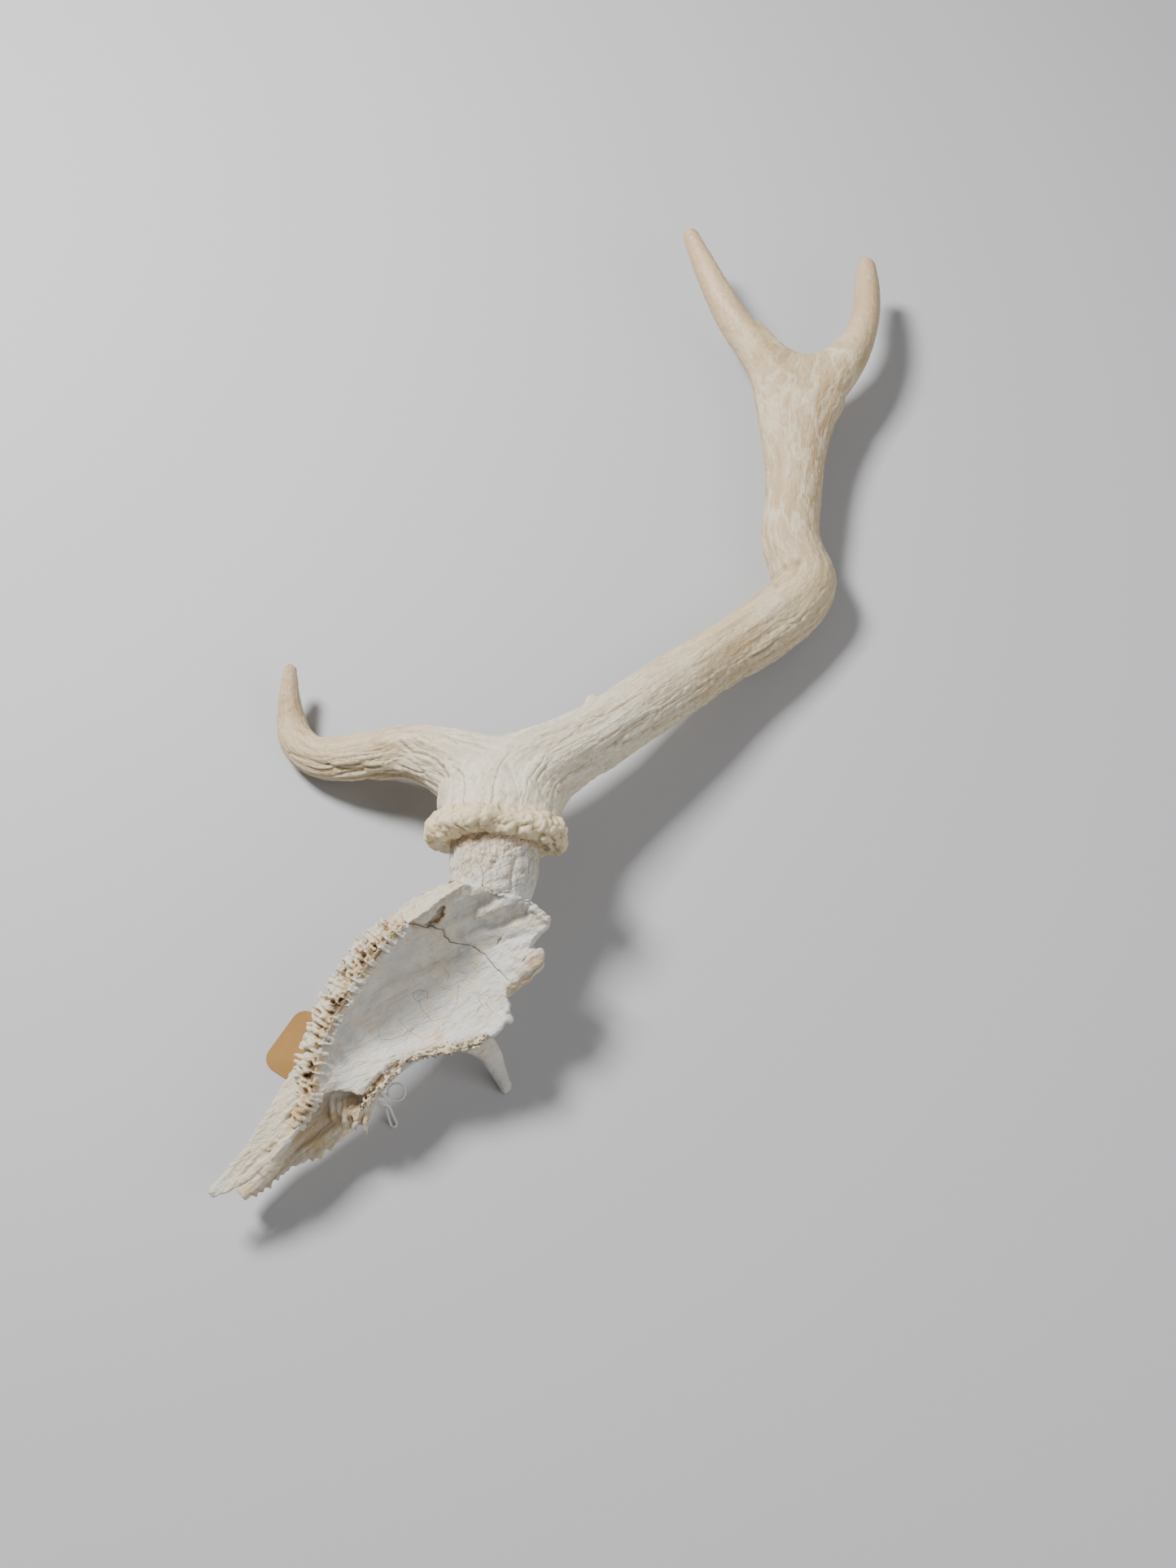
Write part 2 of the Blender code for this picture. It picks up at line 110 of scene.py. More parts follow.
def in_frame(points):
    """Where points in millimetres fall in the frame, in pixels from its top left corner."""
    turn = math.radians(CAMERA_TURN)
    away = points - np.array(CAMERA_PLACE)
    depth = away[:, 1] * math.sin(turn) - away[:, 2] * math.cos(turn)
    rise = away[:, 1] * math.cos(turn) + away[:, 2] * math.sin(turn)
    across = FRAME_WIDTH / 2 + FOCAL_PIXELS * away[:, 0] / depth
    return np.column_stack([across, FRAME_HEIGHT / 2 - FOCAL_PIXELS * rise / depth])


def facing_camera(points, normals):
    """1 where a surface faces the camera, fading to 0 where it turns away."""
    towards = np.array(CAMERA_PLACE) - points
    towards = towards / np.linalg.norm(towards, axis=1, keepdims=True)
    return np.clip((normals * towards).sum(1) / 0.25, 0, 1)

# %% [markdown]
# ## Curves through a few stations
#
# An antler's branch is easiest to describe by stations: a few places along it, each with a
# width and a thickness. A smooth curve through the stations then gives as many rings as the
# mesh needs. Catmull-Rom is used because it passes through every station, so each number
# below is a size that could be measured on the bone.

# %% Reading smooth curves
def through(rows, count, start=0.0, end=1.0, steps=16):
    """Rows read evenly along a smooth curve through these rows, between two shares of its length."""
    rows = np.array(rows, float)
    padded = np.vstack([2 * rows[0] - rows[1], rows, 2 * rows[-1] - rows[-2]])
    fine = []
    for before, here, there, after in zip(padded, padded[1:], padded[2:], padded[3:]):
        for t in np.linspace(0, 1, steps, endpoint=False):
            straight = 2 * here + (there - before) * t
            squared = (2 * before - 5 * here + 4 * there - after) * t**2
            cubed = (3 * here - before - 3 * there + after) * t**3
            fine.append((straight + squared + cubed) / 2)
    fine = np.array(fine + [rows[-1]])
    gaps = np.linalg.norm(np.diff(fine[:, :3], axis=0), axis=1)
    travelled = np.concatenate([[0], np.cumsum(gaps)])
    places = travelled[-1] * np.linspace(start, end, count)
    return np.column_stack([np.interp(places, travelled, column) for column in fine.T])


def length_of(rows):
    whole = through(rows, 80)
    return np.linalg.norm(np.diff(whole[:, :3], axis=0), axis=1).sum()


def unit(vectors):
    return vectors / np.linalg.norm(vectors, axis=-1, keepdims=True)


def stations(rows, count, start=0.0, end=1.0):
    """The rows read along the curve, with its direction added to each."""
    read = through(rows, count, start, end)
    return np.hstack([read, unit(np.gradient(read[:, :3], axis=0))])


print("a curve over three points:", through([(0, 0), (4, 3), (8, 0)], 5).round(1).tolist())

# %% [markdown]
# ## The thread and its tag
#
# The thread runs from the tag's hole up to the thin wall at the front of the eye socket,
# makes a slack loop, goes once round the wall, and ends in a doubled tail. Its route is a
# list of given points, because a thread that fell this way follows no formula. It is
# twisted from two plies, so its section has a waist, and the waist turns along the thread.

# %% Route of the thread
THREAD_DIAMETER = 1.2
PLY_TURN = 2.8  # mm of thread for one turn of its two plies
THREAD_FROM_TAG = [
    (-108.9, -219.1, 0.4),
    (-108.5, -219.4, 2.6),
    (-105, -222, 4.4),
    (-100, -226, 8),
    (-95.5, -228.5, 14.5),
    (-92.5, -229, 19.5),
    (-91.3, -228.9, 22.6),
]
THREAD_LOOP = (np.array([-87.2, -229, 25.2]), 3.8)  # a slack loop: its middle and its radius
THREAD_LOOP_SIDES = (np.array([1, 0, 0]), np.array([0, 0.9, 0.43]))  # the directions it lies in
THREAD_TURN = [  # once round the thin wall at the front of the orbit
    (-90.6, -232.2, 24.6),
    (-92, -231.2, 27.4),
    (-94.2, -229.6, 30),
    (-96.4, -227.8, 30.9),
    (-98.9, -226.2, 29.2),
    (-99.4, -227, 26),
    (-98.6, -229, 22.6),
    (-96.4, -231.6, 21.2),
    (-93.6, -233.2, 20.4),
]
THREAD_TAIL = [  # its doubled loose end
    (-91.4, -233.6, 17),
    (-91, -234.4, 10),
    (-90.2, -236.4, 3.5),
    (-89.6, -238, 0.9),
    (-90.6, -239.4, 0.7),
    (-92.2, -238.4, 0.8),
    (-92.9, -235.6, 6),
    (-93.2, -233.2, 13),
]


def thread_route():
    centre, radius = THREAD_LOOP
    right, leaning = THREAD_LOOP_SIDES
    loop = []
    for angle in np.radians(np.linspace(210, -110, 10)):
        loop.append(centre + radius * (right * math.cos(angle) + leaning * math.sin(angle)))
    return np.vstack([THREAD_FROM_TAG, loop, THREAD_TURN, THREAD_TAIL])


def twisted_rings(places, sides=18):
    """Rings of a strand of two plies, turning with the twist as they follow its route."""
    directions = unit(np.gradient(places, axis=0))
    side = unit(np.cross(directions[0], UP + 0.3))
    angles = np.linspace(0, 2 * math.pi, sides, endpoint=False)
    rings, turned, run = [], [], 0.0
    for k, (place, direction) in enumerate(zip(places, directions)):
        side = unit(side - direction * (side @ direction))
        top = np.cross(direction, side)
        run += np.linalg.norm(place - places[k - 1]) if k else 0
        turn = angles + run * 2 * math.pi / PLY_TURN
        waist = THREAD_DIAMETER / 2 * (0.8 + 0.2 * np.abs(np.cos(turn)) ** 0.8)
        rings.append(place + np.outer(np.cos(angles) * waist, side) + np.outer(np.sin(angles) * waist, top))
        turned.append(np.column_stack([waist * np.cos(turn), waist * np.sin(turn), np.full(sides, run)]))
    return rings, np.vstack(turned)


print(f"thread: {length_of(thread_route()):.0f} mm")

# %% [markdown]
# ## The antler's stations
#
# The branches have the same stations as in the solid model, so the dressed piece fills the
# same space. The beam and the brow tine start in the trunk, on the burr, and the two top
# points start in the palm. The crotch between those two is filled by a web of its own.

# %% Stations of the antler
BEAM = [
    (-43, -104, 47, 57, 46),
    (-33, -84, 45, 45, 43),
    (-15, -71, 42, 36, 39),
    (0, -60, 39, 33, 35),
    (13, -50, 37, 32, 34),
    (38, -29, 32, 33, 33),
    (63, -8, 26, 31, 32),
    (85, 10, 21, 32, 33),
    (103, 27, 17.8, 33, 34),
    (112.5, 41, 17.9, 32, 34),
    (109, 55, 19, 31, 32),
    (106, 70, 20, 31, 30),
    (109, 95, 22, 30, 28),
    (111, 121, 24, 34, 27),
    (113, 144, 26, 43, 26),
    (116, 160, 27, 50, 25),
    (118, 177, 28, 44, 22),
]
BROW = [
    (-44, -104, 47, 54, 46),
    (-49, -87, 45, 42, 42),
    (-63, -76, 41, 35, 35),
    (-78, -68, 37, 29, 29),
    (-90, -64, 33, 26, 26),
    (-107, -62, 26, 24, 23),
    (-125, -60, 18, 22, 21),
    (-139, -56, 12, 20, 20),
    (-149, -47, 9.75, 18, 19),
    (-153, -36, 11, 15, 16),
    (-154, -26, 16, 11, 12),
    (-154, -12, 21, 7, 8),
]
LONG_TOP = [
    (108, 158, 27, 36, 25),
    (101, 175, 28, 26, 24),
    (93.5, 189, 29, 21.5, 21),
    (81, 210, 31, 18.5, 19),
    (71, 232, 33, 15.5, 17),
    (64, 252, 34, 12.5, 14),
    (58, 270, 35, 9.5, 10),
]
SHORT_TOP = [
    (122, 158, 27, 30, 24),
    (137, 175, 28, 25, 22),
    (149, 193, 29, 19, 20),
    (156.6, 216, 30, 15.6, 17),
    (158.8, 238, 30, 13.8, 15),
    (159.4, 251, 30, 11, 12),
]
TRUNK = [
    (-44, -105, 47, 56, 46),
    (-42, -90, 46, 60, 44),
    (-39, -80, 44, 60, 38),
    (-39, -75, 43, 46, 28),
]
BRANCHES = {"beam": BEAM, "brow": BROW, "long": LONG_TOP, "short": SHORT_TOP}
LEAVES = {"beam": 0.2, "brow": 0.26, "long": 0.2, "short": 0.24}  # share at which each is parted
BURR_FOOT = np.array([-45, -120, 49.0])
BURR_AXIS = unit(np.array([0.03, 0.99, 0.139]))
BURR_WIDTH, BURR_DEPTH, BURR_DROOP = 67, 56, 4.5
BURR_PROFILE = [
    (0, 0.66, 0),
    (0, 0.82, 0.6),
    (1.8, 0.94, 1),
    (6.5, 1, 0.7),
    (10.5, 0.93, 0.3),
    (14.5, 0.78, 0),
    (21, 0.72, 0),
]
FORK_WEB = [  # the web of bone that fills the crotch of the top fork
    (92.5, 205.5, 29.6, 8, 14),
    (98, 195.7, 29.3, 10, 17),
    (107.5, 185.5, 28.8, 10, 18),
    (120.8, 179.2, 28.4, 10, 18),
    (134.9, 185.7, 28.6, 10, 18),
    (144.8, 196, 29, 10, 16),
    (149, 203, 29.4, 8, 13),
]
BEAM_NUB = [(-2, -40.4, 37, 3, 2.4), (0, -38.4, 37.8, 4, 3), (2.6, -37.2, 37, 3, 2.4)]  # a small knob
for name, rows in BRANCHES.items():
    print(f"{name}: {length_of(rows):.0f} mm long")

# %% [markdown]
# ## Lofts and the voxel remesh
#
# A loft joins rings of points with quads and fills its two ends. Lofts that overlap are then
# remeshed together. The voxel remesh drops the faces inside, so forks need no Boolean and
# every face comes out about square, which is what the relief needs later.

# %% Rings and skins
def frame_across(direction):
    """The level direction across a branch, and the one square to both, for each direction."""
    side = unit(np.cross(direction, UP))
    return side, unit(np.cross(side, direction))


def oval_rings(rows, sides):
    angles = np.linspace(0, 2 * math.pi, sides, endpoint=False)
    rings = []
    for row in rows:
        side, top = frame_across(row[5:8])
        wide = np.outer(np.cos(angles), side) * row[3] / 2
        deep = np.outer(np.sin(angles), top) * row[4] / 2
        rings.append(row[:3] + wide + deep)
    return rings


def round_end(rows, rounds=6):
    """The stations with a half-round end added past the last one."""
    last = rows[-1]
    reach = min(last[3], last[4]) / 2
    added = []
    for angle in np.radians(np.linspace(0, 84, rounds + 1)[1:]):
        place = last[:3] + last[5:8] * reach * math.sin(angle)
        added.append([*place, *(last[3:5] * math.cos(angle)), *last[5:8]])
    return np.vstack([rows, added])


def skin(rings):
    """A closed mesh through rings that have the same number of points."""
    mesh = bmesh.new()
    loops = [[mesh.verts.new(point) for point in ring] for ring in rings]
    for low, high in zip(loops, loops[1:]):
        for k in range(len(low)):
            after = (k + 1) % len(low)
            mesh.faces.new((low[k], low[after], high[after], high[k]))
    mesh.faces.new(loops[0])
    mesh.faces.new(loops[-1])
    bmesh.ops.recalc_face_normals(mesh, faces=mesh.faces)
    data = bpy.data.meshes.new("loft")
    mesh.to_mesh(data)
    mesh.free()
    return data


# %% Fusing lofts with voxels
def arrays_of(data):
    """The points and the quads of a mesh."""
    points = np.empty(len(data.vertices) * 3, np.float32)
    data.vertices.foreach_get("co", points)
    corners = np.empty(len(data.loops), np.int32)
    data.loops.foreach_get("vertex_index", corners)
    return points.reshape(-1, 3).astype(float), corners.reshape(-1, 4)


def through_modifier(data, kind, **settings):
    """A mesh as a modifier leaves it; the mesh that went in is removed."""
    thing = bpy.data.objects.new("worked", data)
    bpy.context.scene.collection.objects.link(thing)
    modifier = thing.modifiers.new("work", kind)
    for name, value in settings.items():
        setattr(modifier, name, value)
    graph = bpy.context.evaluated_depsgraph_get()
    made = bpy.data.meshes.new_from_object(thing.evaluated_get(graph))
    bpy.data.objects.remove(thing)
    bpy.data.meshes.remove(data)
    return made


def joined(parts):
    mesh = bmesh.new()
    for part in parts:
        mesh.from_mesh(part)
        bpy.data.meshes.remove(part)
    data = bpy.data.meshes.new("joined")
    mesh.to_mesh(data)
    mesh.free()
    return data


def fused(parts, voxel):
    """One closed skin round overlapping lofts, of squares this wide in millimetres."""
    return through_modifier(joined(parts), "REMESH", mode="VOXEL", voxel_size=voxel, adaptivity=0)


def mesh_from(points, quads):
    data = bpy.data.meshes.new("worked")
    data.from_pydata(points.tolist(), [], quads.tolist())
    return data


# %% Bodies, smoothing and normals
def groups_of(count, starts, ends):
    """A number for each point, the same for all points that these edges join."""
    group = np.arange(count)
    while True:
        least = np.minimum(group[starts], group[ends])
        spread = group.copy()
        np.minimum.at(spread, starts, least)
        np.minimum.at(spread, ends, least)
        spread = spread[spread]
        if (spread == group).all():
            return group
        group = spread


def largest_body(points, quads):
    """The points and squares of the largest body, without the specks beside it."""
    group = groups_of(len(points), quads.ravel(), np.roll(quads, -1, axis=1).ravel())
    own = quads[group[quads[:, 0]] == np.bincount(group).argmax()]
    used, corners = np.unique(own, return_inverse=True)
    return points[used], corners.reshape(own.shape)


def relaxed(points, quads, weight, times):
    """Each point drawn towards the middle of its neighbours, as far as its weight says."""
    starts, ends = quads.ravel(), np.roll(quads, -1, axis=1).ravel()
    count = np.bincount(starts, minlength=len(points))[:, None]
    weight = np.broadcast_to(weight, len(points))[:, None]
    for _ in range(times):
        sums = [np.bincount(starts, points[ends, k], len(points)) for k in range(3)]
        points = points + weight * (np.column_stack(sums) / count - points)
    return points


def normals_of(points, quads):
    a, b, c, d = (points[quads[:, k]] for k in range(4))
    face = np.cross(c - a, d - b)
    sums = [np.bincount(quads.ravel(), np.repeat(face[:, k], 4), len(points)) for k in range(3)]
    return unit(np.column_stack(sums))


def smooth_step(low, high, values):
    t = np.clip((values - low) / (high - low), 0, 1)
    return t * t * (3 - 2 * t)


def smoothed(values, quads, times):
    """Values at the points, evened out between neighbours."""
    starts, ends = quads.ravel(), np.roll(quads, -1, axis=1).ravel()
    count = np.bincount(starts, minlength=len(values))
    for _ in range(times):
        values = np.bincount(starts, values[ends], len(values)) / count
    return values


def push(points, quads, height):
    return points + normals_of(points, quads) * height[:, None]


# %% [markdown]
# ## Noise that runs with the growth
#
# Ridges on an antler follow its branches. Noise from a shader only knows straight
# directions, so each point gets flow coordinates instead: how far along its branch it is, and
# where it lies round it. Noise that is read there and stretched lengthwise becomes ridges
# that turn every corner with the antler. The noise itself is a small lattice of fixed
# chances, so the result is the same on each run.

# %% Noise in code
def chance_at(cells, seed):
    """A fixed chance from -1 to 1 for each whole-numbered cell."""
    x, y, z = (cells[:, k].astype(np.uint64) for k in range(3))
    mixed = x * np.uint64(374761393) + y * np.uint64(668265263) + z * np.uint64(2147483647)
    mixed = (mixed + np.uint64(seed * 974634777)) & np.uint64(0xFFFFFFFF)
    mixed = ((mixed ^ (mixed >> np.uint64(13))) * np.uint64(1274126177)) & np.uint64(0xFFFFFFFF)
    mixed = ((mixed ^ (mixed >> np.uint64(15))) * np.uint64(2246822519)) & np.uint64(0xFFFFFFFF)
    return (mixed >> np.uint64(8)).astype(float) / 2**23 - 1


def noise(points, size, seed=0):
    """Smooth noise from -1 to 1; size is the width of its lumps in each direction."""
    places = points / np.array(size, float)
    cells = np.floor(places).astype(np.int64)
    part = places - cells
    part = part**3 * (part * (part * 6 - 15) + 10)
    total = np.zeros(len(points))
    for corner in itertools.product((0, 1), repeat=3):
        share = np.prod(np.where(corner, part, 1 - part), axis=1)
        total += share * chance_at(cells + corner, seed)
    return total


def folds(points, size, seed=0):
    """Rounded ridges with narrow grooves between them, from 0 in the groove to about 1."""
    return np.clip(np.abs(noise(points, size, seed)) * 2.4, 0, 1) ** 0.7


def lumps(points, spacing, seed=0):
    """Domes packed side by side: 1 at the top of each, 0 in the valleys between them."""
    cells = np.floor(points / spacing).astype(np.int64)
    nearest = np.full(len(points), 9.0)
    for step in itertools.product((-1, 0, 1), repeat=3):
        near = cells + step
        middle = np.column_stack([chance_at(near, seed + k) for k in range(3)]) * 0.42 + 0.5 + near
        nearest = np.minimum(nearest, np.linalg.norm(points / spacing - middle, axis=1))
    return np.sqrt(np.clip(1 - (nearest / 0.85) ** 2, 0, 1))


print("noise at one place:", noise(np.array([[3.3, 1.2, 7.7]]), 2.0).round(3))

# %% [markdown]
# ## Marks at known places
#
# Noise gives the kind of surface, but the long cracks and folds of this one piece have places
# of their own. They are lists of points in the frame, in pixels. Each point of a mesh knows
# where it falls in the frame, so its distance to such a line says how deep it is pushed there.

# %% Lines in the frame
FAR = 40  # pixels: past this a crack no longer counts
SEEN = 0.3  # how far a surface has to face the camera to show a crack


def line_reach(places, line):
    """Distance in the frame from each place to a line of points, with the sign of its side."""
    nearest = np.full(len(places), 1e6)
    signed = np.full(len(places), 1e6)
    for start, end in zip(np.array(line, float), np.array(line[1:], float)):
        run = end - start
        away = places - start
        share = np.clip(away @ run / (run @ run), 0, 1)
        off = away - share[:, None] * run
        reach = np.hypot(off[:, 0], off[:, 1])
        side = np.where(run[0] * off[:, 1] - run[1] * off[:, 0] < 0, -1.0, 1.0)
        closer = reach < nearest
        nearest = np.where(closer, reach, nearest)
        signed = np.where(closer, reach * side, signed)
    return signed


def marked(places, marks):
    """Height of marks, each one a height in mm, a half-width in pixels and its points."""
    total = np.zeros(len(places))
    for height, width, line in marks:
        total += height * np.exp(-((line_reach(places, line) / width) ** 2))
    return total


def cracked(places, lines, wander=1.1):
    """Signed distance in pixels to the nearest of these cracks, which wander a little."""
    level = np.column_stack([places, np.zeros(len(places))])
    wave = np.column_stack([noise(level, 8, seed) + 0.5 * noise(level, 3, seed) for seed in (3, 4)])
    places = places + wave * wander
    best = np.full(len(places), 1e6)
    for line in lines:
        reach = line_reach(places, line)
        best = np.where(np.abs(reach) < np.abs(best), reach, best)
    return np.clip(best, -FAR, FAR)


def patched(places, patches):
    """Strength of soft round patches: each one x, y, radius and strength."""
    total = np.zeros(len(places))
    for x, y, radius, strength in patches:
        away = np.hypot(places[:, 0] - x, places[:, 1] - y)
        total = np.maximum(total, strength * np.exp(-((away / radius) ** 2)))
    return total


spot = np.array([[3.0, 4.0]])
print("distance from a line:", abs(line_reach(spot, [(0, 0), (9, 0)])[0]), "pixels")

# %% [markdown]
# ## The antler's form
#
# The four branches, the trunk, the burr and the web of the top fork are lofted and fused as
# one antler, with wide voxels. The forks are then relaxed, because bone fills a fork with a
# smooth web, and one round of subdivision gives the fine squares that the relief is pushed
# into.

# %% Grow the antler
ANTLER_VOXEL = 1.12
FORKS = [((-42, -82, 46), 26), ((117, 176, 28), 26)]  # middle and reach of each fork


def burr_rings(sides=120):
    side, top = frame_across(BURR_AXIS)
    angles = np.linspace(0, 2 * math.pi, sides, endpoint=False)
    rings = []
    for along, share, droop in through(BURR_PROFILE, 24):
        lobes = share * (np.sin(3 * angles + 1) + 0.8 * np.sin(5 * angles))
        wide = np.outer(np.cos(angles) * (BURR_WIDTH / 2 * share + lobes), side)
        deep = np.outer(np.sin(angles) * (BURR_DEPTH / 2 * share + lobes), top)
        drop = np.outer(along - BURR_DROOP * droop * np.cos(angles) ** 4, BURR_AXIS)
        rings.append(BURR_FOOT + wide + deep + drop)
    return rings


def branch_rings(rows, sides=72, tip=True):
    places = stations(rows, int(length_of(rows) / 1.5))
    return oval_rings(round_end(places) if tip else places, sides)


def grow_antler():
    parts = [skin(branch_rings(rows, tip=rows is not BEAM)) for rows in BRANCHES.values()]
    parts += [skin(branch_rings(TRUNK)), skin(burr_rings())]
    parts.append(skin(oval_rings(round_end(stations(BEAM_NUB, 12)), 16)))
    parts.append(skin(oval_rings(round_end(stations(FORK_WEB, 50)), 32)))
    points, quads = arrays_of(fused(parts, ANTLER_VOXEL))
    web = np.zeros(len(points))
    for middle, reach in FORKS:
        away = np.linalg.norm(points - middle, axis=1)
        web = np.maximum(web, 1 - smooth_step(reach * 0.6, reach, away))
    points = relaxed(points, quads, 0.5, 3)
    points = relaxed(points, quads, 0.7 * web, 60)
    data = through_modifier(mesh_from(points, quads), "SUBSURF", levels=1)
    return arrays_of(data)


antler_points, antler_quads = grow_antler()
print(f"antler: {len(antler_quads)} squares")

# %% [markdown]
# ## Where each point lies on its branch
#
# A k-d tree finds the nearest place on a branch's middle line. From it come the distance
# along the branch, the angle round it (0 on its right side and 90 degrees on top, for someone
# who looks towards the tip) and a share: how far the point is from the line, across it or
# past its end, in radii of the branch. The branch with the smallest share is the one that
# the point belongs to.

# %% Flow coordinates
FLOW_RADIUS = {"beam": 16, "brow": 12, "long": 9, "short": 9}  # mm, the same all along
FORK_FADE = 0.3  # difference of two shares over which one branch fades into the other


def nearest_on(line, points):
    """The number of the place on a line that is nearest to each point, and how far it is."""
    tree = KDTree(len(line))
    for number, place in enumerate(line):
        tree.insert(place, number)
    tree.balance()
    found = [tree.find(point)[1:] for point in points]
    return np.array([number for number, _ in found]), np.array([away for _, away in found])


def flow_on(points, rows):
    """Distance along a branch in millimetres, angle round it, and share as told above."""
    reach = length_of(rows)
    line = stations(rows, int(reach))
    nearest, _ = nearest_on(line[:, :3], points)
    row = line[nearest]
    side, top = frame_across(row[:, 5:8])
    away = points - row[:, :3]
    ahead = (away * row[:, 5:8]).sum(1)
    across = (away * side).sum(1) / (row[:, 3] / 2)
    above = (away * top).sum(1) / (row[:, 4] / 2)
    past_end = ahead / (row[:, 3] / 2)
    along = nearest * reach / (len(line) - 1) + ahead
    return along, np.arctan2(above, across), np.sqrt(across**2 + above**2 + past_end**2)


def wrapped(along, angle, radius):
    """Flow coordinates as a place on a straight cylinder, where noise has no seam."""
    return np.column_stack([radius * np.cos(angle), radius * np.sin(angle), along])


flows = {name: flow_on(antler_points, rows) for name, rows in BRANCHES.items()}
shares = np.array([flows[name][2] for name in BRANCHES])
belongs = {}  # how far each point belongs to each branch, fading over a fork
for number, name in enumerate(BRANCHES):
    rest = np.delete(shares, number, axis=0).min(axis=0)
    belongs[name] = smooth_step(-FORK_FADE, FORK_FADE, rest - shares[number])
total_share = sum(belongs.values())
belongs = {name: share / total_share for name, share in belongs.items()}
for name, share in belongs.items():
    print(f"{name}: {int((share > 0.5).sum())} points")

# %% [markdown]
# ## Ridges, grooves and pearls
#
# The lower beam is grooved along its right side and nearly smooth on top. The brow tine has
# wavy ridges that run together on its left side. Both fade out towards the points, which the
# animal rubbed smooth. The burr is a crowd of lumps, with pearls on them and grains on the
# pearls, so it gets domes of three sizes.

# %% Marks of the antler
RIDGE_PITCH, TOP_PITCH = 3.0, 2.4  # mm between ridges, and between those of the top points
BEAM_GROOVED = (math.radians(-20), 1.15, 240)  # middle and spread of the angles, and its length
BROW_GROOVED = (math.radians(175), 1.1, 122)
BURR_MASS, BURR_PEARL, BURR_GRAIN = 10, 4.2, 2.2  # mm between masses, pearls and grains
ANTLER_CRACKS = [
    [(626, 923), (614, 940), (609, 953), (606, 970), (603, 985), (600, 994)],
    [(790, 850), (745, 878), (722, 882), (702, 903), (679, 920), (669, 930), (661, 943)],
    [(661, 943), (649, 958), (646, 976), (643, 988)],
    [(561, 945), (570, 955), (571, 966), (571, 988)],
    [(855, 812), (880, 790), (902, 772)],
]
ANTLER_MARKS = [  # height in mm, half-width in pixels, points
    (1.7, 6, [(722, 862), (730, 855)]),
    (-1.1, 3.5, [(955, 718), (970, 703), (985, 690)]),
    (1.0, 6, [(940, 716), (958, 698), (975, 684)]),
    (1.1, 5, [(493, 910), (513, 908), (535, 919), (547, 930), (554, 948)]),
    (-1.1, 2.2, [(493, 912), (506, 925), (521, 927), (535, 934), (544, 943), (549, 954)]),
    (-1.0, 1.8, [(471, 950), (484, 947), (496, 952), (512, 957)]),
    (-0.9, 1.8, [(402, 939), (418, 945), (436, 947), (450, 944), (466, 942)]),
    (-0.7, 2.0, [(356, 926), (374, 933), (392, 938), (403, 941)]),
    (0.9, 3.0, [(455, 958), (480, 957), (505, 962)]),
]


print(f"marks: {len(ANTLER_CRACKS)} cracks and {len(ANTLER_MARKS)} ridges or dents")


# %% Relief of the branches
def grooved_side(angle, middle, spread):
    """1 in the middle of a branch's grooved side, fading to 0 round the branch."""
    turned = np.abs((angle - middle + math.pi) % (2 * math.pi) - math.pi)
    return np.exp(-((turned / spread) ** 4))


def ridge_field(branch, pitch, wander, stretch, seed):
    """Ridges along a branch; wander is how far they wave, stretch how long they run."""
    along, angle, _ = flows[branch]
    radius = FLOW_RADIUS[branch]
    place = wrapped(along, angle, radius)
    wave = noise(place, (9, 9, 16), seed + 1) * wander
    place = wrapped(along, angle + wave / radius, radius)
    return folds(place, (pitch, pitch, pitch * stretch), seed)


def beam_relief():
    along, angle, _ = flows["beam"]
    place = wrapped(along, angle, FLOW_RADIUS["beam"])
    middle, spread, reach = BEAM_GROOVED
    grooved = grooved_side(angle, middle, spread)
    fade = 1 - smooth_step(reach * 0.7, reach * 1.1, along)
    patchy = 0.65 + 0.35 * noise(place, (10, 10, 34), 15)
    fine = ridge_field("beam", RIDGE_PITCH, 2.2, 7, 11) - 0.62
    thin = ridge_field("beam", RIDGE_PITCH * 0.55, 1.0, 14, 16) - 0.62
    fan = 0.7 * (1 - smooth_step(60, 135, along))
    strong = np.maximum(grooved * fade, fan) * patchy
    broad = noise(place, (7, 7, 60), 12)
    beads = lumps(place / (1, 1, 1.5), 2.6, 13) - 0.6
    height = fine * (0.16 + 1.1 * strong) + thin * (0.14 + 0.55 * strong)
    return height + broad * (0.3 + 0.6 * fade) + beads * (0.12 + 1.0 * grooved * fade)


def brow_relief():
    along, angle, _ = flows["brow"]
    place = wrapped(along, angle, FLOW_RADIUS["brow"])
    middle, spread, reach = BROW_GROOVED
    grooved = grooved_side(angle, middle, spread)
    fade = 1 - smooth_step(reach * 0.75, reach * 1.15, along)
    fine = ridge_field("brow", RIDGE_PITCH * 0.9, 2.6, 7, 21) - 0.6
    thin = ridge_field("brow", RIDGE_PITCH * 0.5, 1.6, 9, 26) - 0.6
    fan = 0.7 * (1 - smooth_step(45, 90, along))
    strong = np.maximum(grooved * fade, fan)
    broad = noise(place, (6, 6, 34), 22)
    beads = lumps(place / (1, 1, 1.8), 2.4, 24) - 0.6
    height = fine * (0.22 + 1.1 * strong) + thin * (0.14 + 0.4 * strong)
    return height + broad * (0.2 + 0.55 * fade) + beads * (0.1 + 0.25 * grooved * fade)


def top_relief(name, seed):
    along, angle, _ = flows[name]
    place = wrapped(along, angle, FLOW_RADIUS[name])
    fine = ridge_field(name, TOP_PITCH, 1.0, 16, seed + 3) - 0.6
    base = 1 - smooth_step(10, 60, along)
    return noise(place, (6, 6, 45), seed) * 0.3 + fine * (0.1 + 0.25 * base)


